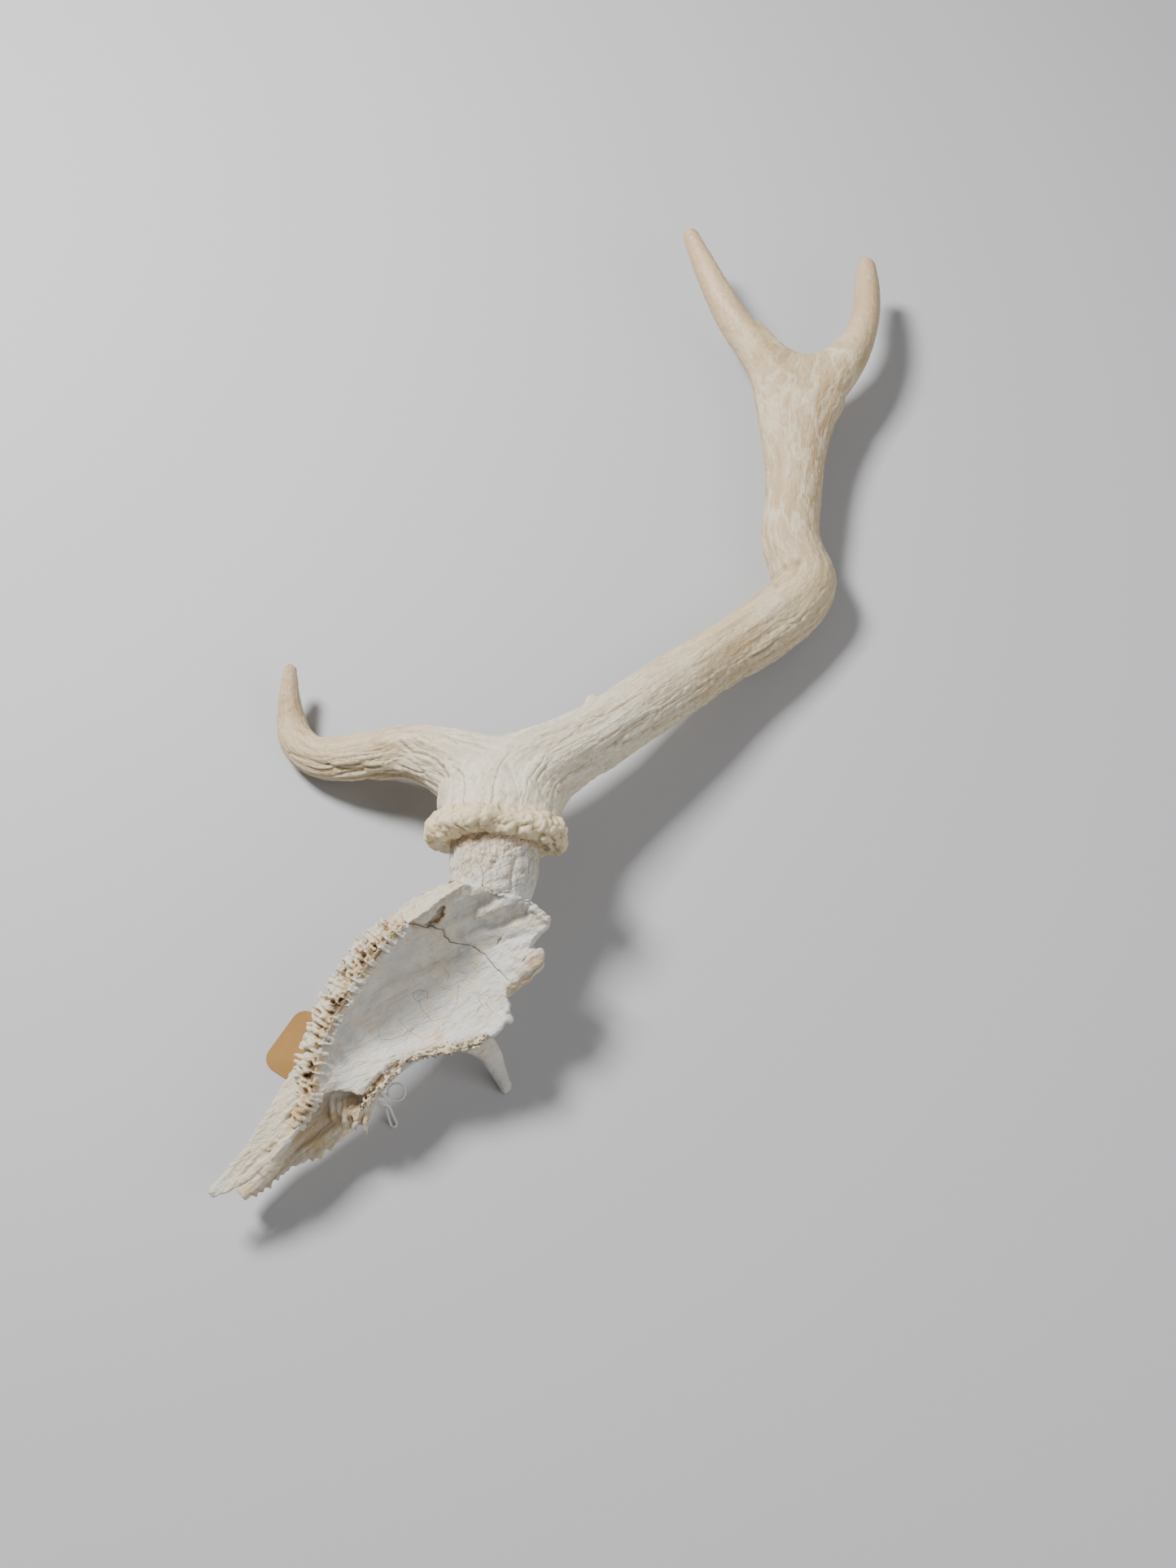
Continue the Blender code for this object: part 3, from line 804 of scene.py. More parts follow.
# %% Relief of the burr, and the push
def burr_share(points):
    """1 on the pearled ring and 0 away from it."""
    _, away = nearest_on(np.vstack(burr_rings()), points)
    along = (points - BURR_FOOT) @ BURR_AXIS
    return (1 - smooth_step(1.2, 3.6, away)) * (1 - smooth_step(12, 17, along))


def burr_relief(points):
    """Masses of pearls run together, each with smaller pearls and grains on it."""
    bent = points + 3.4 * np.column_stack([noise(points, 5, seed) for seed in (46, 47, 48)])
    masses = lumps(bent, BURR_MASS, 42) ** 2 * 2.6 + noise(points, 13, 43) * 1.6
    pearls = lumps(bent, BURR_PEARL, 41) ** 2 * (0.85 + 0.6 * noise(points, 8, 49))
    grains = lumps(points, BURR_GRAIN, 45) ** 2 * 0.55 + noise(points, 1.6, 44) * 0.16
    return masses + pearls + grains - 2.5


relief = belongs["beam"] * beam_relief() + belongs["brow"] * brow_relief()
relief += belongs["long"] * top_relief("long", 31) + belongs["short"] * top_relief("short", 33)
on_burr = burr_share(antler_points)
relief = relief * (1 - on_burr) + burr_relief(antler_points) * on_burr
antler_places = in_frame(antler_points)
antler_facing = facing_camera(antler_points, normals_of(antler_points, antler_quads))
antler_crack = cracked(antler_places, ANTLER_CRACKS)
relief += antler_facing * marked(antler_places, ANTLER_MARKS)
relief += noise(antler_points, 2.8, 71) * 0.13 + noise(antler_points, 1.5, 72) * 0.11
relief -= antler_facing * 0.4 * np.exp(-((antler_crack / 1.0) ** 2))
antler_groove = relief - smoothed(relief, antler_quads, 14)
antler_points = push(antler_points, antler_quads, relief)
print(f"relief from {relief.min():.2f} to {relief.max():.2f} mm")

# %% [markdown]
# ## Parting the antler at its forks
#
# The solid model parts the antler where its branches leave it, so the dressed antler is cut
# at the same places. Each square goes to the piece that its first corner belongs to, votes
# among neighbours take in the strays, and the cut ends are closed. The pieces keep the
# normals of the whole antler, so no seam shows. The long main beam is cut once more at its
# bend, because one mesh of it would be too heavy to edit.

# %% Cut into pieces
BEAM_BEND = 195  # mm along the beam
PARTS = ["lower_beam", "brow_tine", "long_top_tine", "short_top_tine", "upper_beam", "antler_base"]
NODE_OF = {"lower_beam": "main_beam", "upper_beam": "main_beam", "brow_tine": "brow_tine"}
NODE_OF |= {name: name for name in ("long_top_tine", "short_top_tine", "antler_base")}
CAP_INSET = 4  # how far the middle of a closed end is drawn in


def part_of_squares():
    """The number in PARTS of the piece that each square of the antler belongs to."""
    corner = antler_quads[:, 0]
    part = np.argmin(shares[:, corner], axis=0)
    for number, (branch, rows) in enumerate(BRANCHES.items()):
        stub = flows[branch][0][corner] < LEAVES[branch] * length_of(rows)
        home = PARTS.index("antler_base") if branch in ("beam", "brow") else 0
        part = np.where((part == number) & stub, home, part)
    past_bend = flows["beam"][0][corner] > BEAM_BEND
    return np.where((part == 0) & past_bend, PARTS.index("upper_beam"), part)


def settled(part, quads, times=8):
    """The same numbers, with stray squares given to the piece that lies round them."""
    for _ in range(times):
        votes = [
            np.bincount(quads[part == number].ravel(), minlength=quads.max() + 1)
            for number in range(len(PARTS))
        ]
        part = np.array([vote[quads].sum(axis=1) for vote in votes]).argmax(axis=0)
    return part


def open_rims(quads, count):
    """Groups of the directed edges that only one square has."""
    starts, ends = quads.ravel().astype(np.int64), np.roll(quads, -1, axis=1).ravel()
    alone = ~np.isin(starts * count + ends, ends * np.int64(count) + starts)
    starts, ends = starts[alone], ends[alone]
    group = groups_of(count, starts, ends)
    return [(starts[group[starts] == g], ends[group[starts] == g]) for g in np.unique(group[starts])]


def capped(points, quads):
    """Points, faces and the source of each point, with a sunk fan over every open end."""
    sources = list(range(len(points)))
    faces, middles = quads.tolist(), []
    for starts, ends in open_rims(quads, len(points)):
        inner = np.setdiff1d(quads[np.isin(quads, starts).any(axis=1)], starts)
        middle = points[starts].mean(axis=0)
        drawn = points[inner].mean(axis=0) - middle
        middles.append(middle + unit(drawn) * CAP_INSET)
        faces += [(int(b), int(a), len(sources)) for a, b in zip(starts, ends)]
        sources.append(int(starts[0]))
    return np.vstack([points, *middles]), faces, np.array(sources)


def finished(name, points, quads, node, slot, layers, normals):
    """A piece in metres that stands for a node of the model, with its ends closed."""
    used, corners = np.unique(quads, return_inverse=True)
    places, faces, sources = capped(points[used], corners.reshape(quads.shape))
    data = bpy.data.meshes.new(name)
    data.from_pydata((places * MM).tolist(), [], faces)
    for label, values in layers.items():
        flat = values.ndim == 1
        layer = data.attributes.new(label, "FLOAT" if flat else "FLOAT_VECTOR", "POINT")
        own = values[used][sources].astype(np.float32)
        layer.data.foreach_set("value" if flat else "vector", own.ravel())
    data.shade_smooth()
    data.normals_split_custom_set_from_vertices(normals[used][sources].tolist())
    piece = bpy.data.objects.new(name, data)
    bpy.context.scene.collection.objects.link(piece)
    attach(piece, "root")
    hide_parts(node)
    print(f"{name}: {sum(len(face.vertices) - 2 for face in data.polygons)} triangles")
    return piece


# %% What the antler's pieces tell their material
TRUNK_ENDS = {"beam": (50, 160), "brow": (25, 85)}  # mm along a branch over which its look fades
PALM_STARTS = {"beam": (205, 245)}
PALM_ENDS = {"long": (20, 65), "short": (20, 60)}
TIP_STARTS = {"long": (20, 65), "short": (15, 60), "brow": (120, 165)}


def past(spans):
    """0 before these spans of the branches, 1 past them."""
    return sum(smooth_step(*span, flows[name][0]) * belongs[name] for name, span in spans.items())


def before(spans):
    """1 before these spans of the branches, 0 past them."""
    return sum((1 - smooth_step(*span, flows[name][0])) * belongs[name] for name, span in spans.items())


antler_layers = {
    "beam_flow": wrapped(*flows["beam"][:2], FLOW_RADIUS["beam"]),
    "brow_flow": wrapped(*flows["brow"][:2], FLOW_RADIUS["brow"]),
    "brow_share": belongs["brow"],
    "groove": antler_groove,
    "burr": on_burr,
    "trunk": before(TRUNK_ENDS),
    "palm": past(PALM_STARTS) + before(PALM_ENDS),
    "crack": np.where(antler_facing > SEEN, antler_crack, FAR),
    "tip": past(TIP_STARTS),
}
antler_parts = settled(part_of_squares(), antler_quads)
antler_normals = normals_of(antler_points, antler_quads)
antler_pieces = []
for number, name in enumerate(PARTS):
    own = antler_quads[antler_parts == number]
    look = (NODE_OF[name], "antler_bone", antler_layers, antler_normals)
    antler_pieces.append(finished(f"{name}_bone", antler_points, own, *look))

# %% [markdown]
# ## The skull roof
#
# The bone is a shell, hollowed like a dish on the brain's side. Each cross-section runs from
# the lip of the midline suture over the dish to the edge of the eye socket and back
# underneath. The sections stand within 3 mm of the solid model's, with thinner edges at the
# front, and are read here at many more places, so that the dish is smooth.

# %% Stations of the skull roof
# Outer lip of the suture, inner lip, edge on the orbit side, depth of the dish, thickness in
# the middle, thickness at the edge, and how far the section bows towards the rear.
ROOF = [
    ((-62, -142, 64), (-56, -147, 71), (-28, -152, 64), 3, 12, 6, 0),
    ((-72, -146, 62), (-66, -154, 71), (-21, -160, 57), 11, 13, 6, 0),
    ((-84, -152, 59), (-76, -162, 70), (-28, -170, 53.5), 16, 13, 6, 0),
    ((-95, -163, 56), (-87, -169, 67), (-33, -180, 50), 18, 13, 6, 0),
    ((-106, -173, 52), (-97, -180, 63), (-38, -189, 47), 19, 12, 6, 0),
    ((-113, -184, 48), (-104, -190, 59), (-37, -196, 45), 18, 11, 6, 0),
    ((-119, -194, 44), (-111, -200, 55), (-43, -207, 42), 16, 10, 6, 0),
    ((-124, -205, 40), (-116, -210, 51), (-62, -211, 40), 11, 9, 6, 0),
    ((-127, -214, 37), (-119, -218, 48), (-79, -214, 40), 7, 8, 5, 0),
    ((-131, -223, 34), (-121, -228, 45), (-90, -223, 39), 4, 5, 4, 1),
    ((-133, -232, 31), (-121, -236, 42), (-100, -234, 37), 3, 1.6, 1.6, 4),
]
DISH_LEAN = 0.8
BAND_SAG = 1.8  # how far the suture's band lies below a straight line between its lips
PEDICLE_WIDTH, PEDICLE_DEPTH, PEDICLE_RUN = 41, 42, 12
PEDICLE = [
    (-47, -143, 45, 37, 38),
    (-49, -153, 38.5, 36, 28),
    (-52, -165, 34, 40, 20),
    (-58, -180, 30, 34, 11),
]
ORBIT_RIM = [
    (-103, -242, 20, 5, 3),
    (-98.5, -233, 24.5, 6, 4),
    (-94.5, -226.5, 27.5, 6, 4),
    (-87, -218.5, 30.5, 8, 5),
    (-78, -212, 32, 9, 6),
    (-66, -207.5, 31, 10, 7),
    (-55, -206, 30, 13, 8),
    (-47, -210, 25, 11, 7),
    (-43.3, -215.5, 14, 8, 6),
    (-40.5, -220.2, 5, 6.5, 5),
    (-39.4, -221.8, 1.9, 5, 4),
]
MIDLINE_SPLINTER = [
    (-127, -222, 36, 8, 8),
    (-131, -234, 34, 13, 11),
    (-134, -243, 33, 15, 11),
    (-139, -251, 31.5, 15, 10),
    (-145, -258, 29.5, 12, 9),
    (-154.5, -266.6, 27, 9, 7),
    (-163.2, -272.4, 26, 5, 5),
]
OUTER_TABLE = [
    (-110, -220, 26, 18, 3),
    (-112, -229, 24, 24, 3),
    (-116, -237, 22, 26, 2.6),
    (-121, -243, 19, 23, 2.4),
    (-127, -248, 18, 20, 2.2),
    (-134, -252, 17, 17, 2),
    (-140, -257, 16, 15, 2),
    (-146, -263, 15, 13, 1.8),
    (-152, -269, 14, 10, 1.6),
    (-155, -272, 14, 5, 1.4),
]
FRONT_WALL = [
    (-97.6, -231.6, 30, 2, 10),
    (-99.5, -234.5, 28.5, 2, 12),
    (-101.5, -238, 25.5, 1.8, 9),
    (-103, -241.5, 21.5, 1.4, 4),
]
BROKEN_LAYERS = [
    (-27, -170, 49.5, 8, 6),
    (-27.5, -175.5, 47, 11, 8),
    (-38, -187, 43, 7, 7),
]
CORNER = (-20.5, -160.5)  # the sharp corner at the rear of the dish, seen from above
CORNER_PULL, CORNER_REACH = (2.2, 0.2, 0.3), 3.2  # how far it is drawn out, and how wide a part
NUB = [(-42, -197, 42, 3, 2), (-38.6, -199.4, 42, 4.2, 2.6), (-36, -201, 41.5, 3, 2)]  # a small spur
BROKEN_EDGE = [(-48, -207, 40), *(row[2] for row in ROOF[7:])]
SPONGE_DROP, SPONGE_SIZE = (0, -2.6, -2.4), (6.2, 5.6)  # the open bone under the orbit's edge


def roof_section(row, across=40, under=30):
    """One closed cross-section: over the dish from lip to edge, and back under the bone."""
    outer, inner, edge = (np.array(place, float) for place in row[:3])
    depth, thickness, rim, bow = row[3:]
    below = edge - UP * rim
    bulge = (outer[2] + below[2]) / 2 - (inner[2] + edge[2]) / 2 + depth + thickness
    back = np.array([0, bow, 0])
    ring = []
    for s in np.linspace(0, 1, 13)[:-1]:
        ring.append(outer + (inner - outer) * s - UP * BAND_SAG * math.sin(math.pi * s))
    for s in np.linspace(0, 1, across):
        sunk = back * math.sin(math.pi * s) - UP * depth * math.sin(math.pi * s**DISH_LEAN)
        ring.append(inner + (edge - inner) * s + sunk)
    for s in np.linspace(0, 1, under)[:-1]:
        ring.append(below + (outer - below) * s + (back - UP * bulge) * math.sin(math.pi * s))
    return ring


def roof_rings(count=110):
    lines = [through(line, count) for line in zip(*(roof_section(row) for row in ROOF))]
    return [[line[k] for line in lines] for k in range(count)]


def pedicle_rings():
    top = (*(BURR_FOOT + BURR_AXIS * 3.2), PEDICLE_WIDTH, PEDICLE_DEPTH)
    lower = (*(BURR_FOOT - BURR_AXIS * PEDICLE_RUN), PEDICLE_WIDTH, PEDICLE_DEPTH - 2)
    return oval_rings(stations([top, lower, *PEDICLE], 50), 72)


print(f"suture: {length_of([row[0] for row in ROOF]):.0f} mm long")

# %% [markdown]
# ## The fingers of the suture
#
# The two halves of the forehead held each other by fingers of bone, and this half still shows
# its own. Each finger is a pair of thin plates that stand across the band, and each plate
# rises in steps towards the outer lip. A displaced strip couldn't give the deep gaps between
# them, so every step is a short loft of its own, and chance bends each one a little.

# %% Fingers
FINGER_PITCH = 4.4
PLATE_WIDTH, PLATE_APART = 1.6, 1.1  # thickness of a plate, and half of the way to its twin
FINGER_STEPS = [  # share from inner to outer lip, height, length across the band
    (0.14, 1.5, 4.4),
    (0.36, 3.0, 4.8),
    (0.58, 3.8, 5.4),
    (0.81, 4.4, 5.2),
]
FINGER_ROOT = 3.6
FINGERS_START = (0.18, 0.29)  # shares of the suture's length over which they grow
OUTER_LIP = [row[0] for row in ROOF] + [(-138, -243, 31), (-145, -252, 30)]
INNER_LIP = [row[1] for row in ROOF] + [(-128, -246, 38), (-137, -256, 35)]


def finger_rings(place, along, face, out, size, lean, twist):
    width, length, height = size
    angles = np.linspace(0, 2 * math.pi, 20, endpoint=False)
    flat, deep = np.cos(angles), np.sin(angles)
    flat = np.sign(flat) * np.abs(flat) ** 0.7
    deep = np.sign(deep) * np.abs(deep) ** 0.7
    rings = []
    for share, grow in ((-1, 1.1), (0, 1), (0.4, 0.92), (0.75, 0.95), (0.95, 0.75), (1.05, 0.35)):
        reach = share * (FINGER_ROOT if share < 0 else height)
        centre = place + out * reach + lean * max(share, 0) ** 1.5
        turn = twist * share
        wide = along * math.cos(turn) + face * math.sin(turn)
        long = face * math.cos(turn) - along * math.sin(turn)
        rings.append(
            centre + np.outer(flat, wide) * grow * width / 2 + np.outer(deep, long) * grow * length / 2
        )
    return rings


def fingers():
    chance = random.Random(7)
    count = int(length_of(OUTER_LIP) / FINGER_PITCH)
    outer_points, inner_points = through(OUTER_LIP, count), through(INNER_LIP, count)
    directions = unit(np.gradient(inner_points + outer_points, axis=0))
    made = []
    for k in range(count):
        grown = float(smooth_step(*FINGERS_START, k / (count - 1)))
        ending = 1 - 0.75 * float(smooth_step(0.76, 1, k / (count - 1)))
        face = outer_points[k] - inner_points[k]
        width = np.linalg.norm(face)
        face = face / width
        along = unit(directions[k] - face * (directions[k] @ face))
        out = unit(np.cross(face, along))
        slant = chance.uniform(-0.3, 0.3)
        for side in (-1, 1):
            for share, height, length in FINGER_STEPS:
                tall = height * grown * ending * chance.uniform(0.7, 1.15)
                if tall < 0.5 or chance.random() < 0.07:
                    continue
                shift = side * PLATE_APART + chance.uniform(-0.35, 0.35) + slant * share * 3
                place = inner_points[k] + face * width * share + along * shift
                place = place + face * chance.uniform(-0.8, 0.6) - out * BAND_SAG * 0.8
                lean = along * side * chance.uniform(-0.5, 0.7)
                lean = lean + face * (1.9 * share**2 + chance.uniform(-0.4, 0.4))
                size = (PLATE_WIDTH * chance.uniform(0.8, 1.3), length, tall + BAND_SAG * 0.8)
                twist = chance.uniform(-0.5, 0.5)
                made.append(skin(finger_rings(place, along, face, out, size, lean, twist)))
    return made


# %% [markdown]
# ## Splinters and broken plates
#
# At the front the skull is broken open. The splinter along the midline has a three-sided
# section with one sharp ridge. The outer table is a thin plate in two layers with a torn,
# toothed edge, and needles of the spongy bone that lay between the tables hang over it.

# %% Broken front
TOOTH_RUN = (2, 4)  # rings of the plate between one tooth of its torn edge and the next
NEEDLES = [  # where each needle starts, and its length
    (-100.4, 15.5),
    (-102.8, 11.0),
    (-105.1, 14.0),
    (-107.5, 10.0),
    (-110.0, 12.0),
    (-112.7, 9.0),
    (-115.6, 10.0),
]
NEEDLE_START = (-232, 25.5)  # how far forward, and how high, the needles leave the plate


def three_sided(rows, sides=48, corner=math.radians(150), sharp=0.8):
    """Rings whose section is a rounded triangle with a corner at this angle."""
    rings = oval_rings(rows, sides)
    angles = np.linspace(0, 2 * math.pi, sides, endpoint=False)
    third = 2 * math.pi / 3
    edge = math.cos(third / 2) / np.cos((angles - corner) % third - third / 2)
    grow = (1 - sharp) + sharp * edge * 1.35
    return [row[:3] + (ring - row[:3]) * grow[:, None] for row, ring in zip(rows, rings)]


def torn_plate(rows, seed, tooth, count=64, sides=40):
    """A thin plate whose far edge is torn into teeth of different sizes."""
    chance = random.Random(seed)
    places = stations(rows, count)
    rings = oval_rings(places, sides)
    angles = np.linspace(0, 2 * math.pi, sides, endpoint=False)
    torn = np.clip(-np.cos(angles), 0, 1) ** 2
    reach, k = np.zeros(count), 0
    while k < count:
        run, size = chance.randint(*TOOTH_RUN), tooth * chance.uniform(0.4, 1.3)
        for n in range(min(run, count - k)):
            reach[k + n] = size * (n + 1) / run - size * 0.5
        k += run
    shaped = []
    for row, ring, grow in zip(places, rings, reach):
        outward = unit(ring[sides // 2] - row[:3])
        shaped.append(ring + np.outer(torn * grow, outward))
    return skin(shaped)


def shifted(rows, move, narrower):
    """The same stations, moved and made narrower."""
    return [(x + move[0], y + move[1], z + move[2], w - narrower, t) for x, y, z, w, t in rows]


def needle(start, length):
    """A thin spike that leaves the plate forward, over its edge, and bends down."""
    forward, high = NEEDLE_START
    rows = []
    for share in (0, 0.35, 0.7, 1):
        rise = 10 * share - 13 * share**2
        place = (start + 0.8 * share, forward - length * share, high + rise)
        thick = 1.3 * (1 - share) ** 0.6 + 0.9
        rows.append((*place, thick, thick * 1.2))
    return skin(oval_rings(stations(rows, 12), 12))


# %% [markdown]
# ## Growing the skull together
#
# The roof, the pedicle under the antler, the rim of the eye socket and the broken front are
# fused with fine voxels. Voxels round off a sharp corner, so the one at the rear of the dish
# is drawn out afterwards. The fingers need finer voxels still, so they are a mesh of their
# own: a comb whose back is a strip sunk into the band. A thin tip can come out of the remesh
# as a loose speck, so only the comb's largest body is kept.

# %% Grow the skull
ROOF_VOXEL, COMB_VOXEL = 0.67, 0.5
STRIP_WIDTH, STRIP_THICKNESS, STRIP_DEPTH = 9, 3, 3.6


def comb_strip():
    """The comb's back: a strip that follows the band, under its surface."""
    rows = []
    for outer, inner in zip(np.array(OUTER_LIP, float), np.array(INNER_LIP, float)):
        middle = (outer + inner) / 2 - UP * STRIP_DEPTH
        rows.append((*middle, STRIP_WIDTH, STRIP_THICKNESS))
    return skin(oval_rings(stations(rows, 60, 0.15, 0.97), 24))


def grow_skull():
    parts = [skin(roof_rings()), skin(pedicle_rings())]
    for rows in (ORBIT_RIM, BROKEN_LAYERS, NUB):
        parts.append(skin(oval_rings(round_end(stations(rows, 60)), 36)))
    parts.append(skin(three_sided(round_end(stations(MIDLINE_SPLINTER, 70)))))
    parts.append(torn_plate(OUTER_TABLE, 3, 3.2))
    parts.append(torn_plate(shifted(OUTER_TABLE[1:8], (-1.5, 1, 1.5), 6), 4, 2.4))
    parts.append(skin(oval_rings(stations(FRONT_WALL, 24), 24)))
    sponge = [(*np.add(place, SPONGE_DROP), *SPONGE_SIZE) for place in BROKEN_EDGE]
    parts.append(skin(oval_rings(stations(sponge, 60), 24)))
    parts += [needle(*row) for row in NEEDLES]
    points, quads = arrays_of(fused(parts, ROOF_VOXEL))
    points = relaxed(points, quads, 0.5, 1)
    away = np.linalg.norm(points[:, :2] - CORNER, axis=1) / CORNER_REACH
    return points + np.outer(np.exp(-(away**2)), CORNER_PULL), quads


def grow_comb():
    points, quads = largest_body(*arrays_of(fused([comb_strip(), *fingers()], COMB_VOXEL)))
    return relaxed(points, quads, 0.5, 1), quads


roof_points, roof_quads = grow_skull()
comb_points, comb_quads = grow_comb()
print(f"roof: {len(roof_quads)} squares, comb: {len(comb_quads)} squares")

# %% [markdown]
# ## Where the skull is smooth, spongy or broken
#
# Each point is asked how it lies to the band of the suture: how far across it, and how high
# above it. Deep between the fingers the bone is painted brown, partly stain and partly
# painted shade, and their tips are cream.
# Points close to a line just under the broken edge of the eye socket are spongy.

# %% Folds, cracks and stains of the skull
DISH_FOLDS = [  # height in mm, half-width in pixels, points in the frame
    (1.0, 6, [(539, 1116), (552, 1111), (572, 1102), (590, 1096)]),
    (-1.2, 6, [(556, 1125), (575, 1115), (595, 1106), (612, 1102)]),
    (1.0, 7, [(548, 1140), (565, 1133), (590, 1125), (612, 1115), (630, 1108)]),
    (-1.3, 6, [(562, 1146), (580, 1137), (600, 1132), (625, 1131), (645, 1124)]),
    (1.0, 8, [(575, 1156), (600, 1146), (630, 1140), (655, 1133), (670, 1132)]),
    (-0.8, 4, [(600, 1166), (620, 1156), (642, 1150), (656, 1147)]),
    (-0.9, 6, [(458, 1217), (473, 1206), (486, 1198), (503, 1191), (536, 1178), (560, 1172)]),
    (0.7, 7, [(464, 1228), (480, 1215), (505, 1203), (536, 1191), (565, 1184)]),
    (-0.5, 2, [(640, 1118), (648, 1113), (658, 1110)]),
    (-0.6, 2.2, [(655, 1153), (663, 1156), (672, 1152)]),
    (-1.8, 3.6, [(542, 1117), (540, 1126), (534, 1131), (529, 1137)]),
    (-1.4, 3, [(530, 1139), (516, 1139), (503, 1136), (494, 1136)]),
    (-1.0, 2.6, [(352, 1378), (362, 1366), (370, 1358)]),
    (-1.0, 2.6, [(320, 1424), (332, 1411), (345, 1396)]),
    (-0.8, 2.4, [(300, 1441), (311, 1430), (322, 1415)]),
    (0.6, 3.0, [(336, 1422), (352, 1402), (368, 1384)]),
    (-0.8, 3, [(405, 1378), (385, 1395), (365, 1412), (350, 1428)]),
    (0.7, 3.5, [(425, 1378), (405, 1392), (385, 1404), (372, 1412)]),
    (-0.8, 2, [(606, 1085), (605, 1072), (607, 1060)]),
    (-0.7, 2, [(628, 1092), (630, 1070), (634, 1054)]),
]
DARK_CRACKS = [
    [(609, 1159), (614, 1153)],
    [(543, 1141), (546, 1150), (552, 1157), (562, 1160), (576, 1161), (586, 1166), (596, 1175)],
    [(596, 1175), (601, 1180), (609, 1190), (617, 1198), (624, 1203)],
    [(543, 1141), (534, 1140), (526, 1142), (513, 1140), (503, 1137), (496, 1135)],
    [(593, 1085), (595, 1091), (604, 1095), (612, 1098), (625, 1096)],
    [(590, 1064), (593, 1072), (593, 1089)],
]
FINE_CRACKS = [
    [(659, 1048), (651, 1057), (649, 1074)],
    [(644, 1069), (636, 1079), (633, 1094)],
    [(508, 1219), (514, 1216), (524, 1217), (526, 1224), (519, 1228), (513, 1231), (508, 1226)],
    [(508, 1226), (507, 1219)],
    [(516, 1232), (518, 1241), (524, 1246), (529, 1254)],
    [(564, 1211), (562, 1224), (561, 1234), (556, 1244), (551, 1251)],
    [(546, 1216), (556, 1211), (562, 1206), (571, 1204), (579, 1208)],
    [(491, 1254), (496, 1261), (502, 1266), (496, 1271), (488, 1274), (480, 1277), (473, 1277)],
    [(513, 1256), (508, 1264), (503, 1271), (498, 1279)],
    [(502, 1266), (511, 1272), (521, 1276), (529, 1274), (538, 1267), (539, 1264)],
    [(465, 1264), (466, 1272), (470, 1279)],
    [(544, 1257), (546, 1264), (543, 1269)],
    [(587, 1226), (591, 1234), (587, 1243), (579, 1252)],
    [(602, 1226), (596, 1233), (601, 1239)],
    [(435, 1307), (445, 1305)],
    [(453, 1329), (458, 1335), (461, 1330)],
    [(473, 1294), (483, 1286), (493, 1281)],
    [(561, 1193), (572, 1196), (590, 1192)],
    [(545, 1190), (552, 1197), (549, 1205)],
]
STAINS = [  # x, y, radius and strength of golden patches
    (432, 1362, 15, 1.0),
    (447, 1376, 9, 0.9),
    (412, 1372, 16, 0.6),
    (385, 1398, 20, 0.4),
    (362, 1370, 12, 0.5),
    (330, 1415, 12, 0.45),
    (300, 1462, 14, 0.4),
    (645, 1205, 11, 0.75),
    (657, 1180, 12, 0.7),
    (634, 1218, 10, 0.8),
    (536, 1128, 8, 0.4),
    (512, 1139, 6, 0.6),
    (592, 1096, 9, 0.35),
    (520, 1265, 26, 0.22),
    (485, 1285, 22, 0.2),
    (592, 1205, 14, 0.25),
    (503, 1175, 10, 0.2),
    (470, 1222, 8, 0.25),
    (540, 1276, 8, 0.6),
    (626, 1248, 6, 0.35),
]
BURR_SHADE = [(549, 1043), (566, 1031), (593, 1026), (623, 1023), (641, 1025), (662, 1037), (672, 1044)]
# the pits are painted brown through the recess layer, partly stain and partly painted shade
PITS = [  # strength, half-width in pixels, points
    (2.4, 3.4, [(542, 1117), (540, 1126), (534, 1131), (530, 1137)]),
    (0.9, 2.4, [(530, 1139), (518, 1140), (508, 1137)]),
]
PIT_WAVE = 2.5  # pixels that the edge of a pit wanders
print(f"cracks in the bone: {len(DARK_CRACKS) + len(FINE_CRACKS)}")

# %% Regions of the skull
LINE_STEPS = 300  # places at which a line of stations is read


def band_place(points):
    """Share of each point across the suture's band, its height over it, and its share along it."""
    middle = through((np.array(OUTER_LIP) + INNER_LIP) / 2, LINE_STEPS)
    outer, inner = through(OUTER_LIP, LINE_STEPS), through(INNER_LIP, LINE_STEPS)
    nearest, _ = nearest_on(middle, points)
    face = (outer - inner)[nearest]
    width = np.linalg.norm(face, axis=1)
    face = face / width[:, None]
    along = unit(np.gradient(outer + inner, axis=0))[nearest]
    out = unit(np.cross(face, along))
    away = points - inner[nearest]
    return (away * face).sum(1) / width, (away * out).sum(1), nearest / (LINE_STEPS - 1)


def away_from(line, points):
    """Distance from each point to a smooth curve through a line of stations."""
    return nearest_on(through(line, LINE_STEPS), points)[1]


def spongy_share(points):
    return 1 - smooth_step(3.3, 4.6, away_from(np.array(BROKEN_EDGE) + SPONGE_DROP, points))


print(f"open spongy edge: {length_of(BROKEN_EDGE):.0f} mm long")

# %% [markdown]
# ## Relief of the skull
#
# The dish is smooth with folds, fine scratches and cracks. The broken edges are rough, and the
# splinters are streaked along their length.

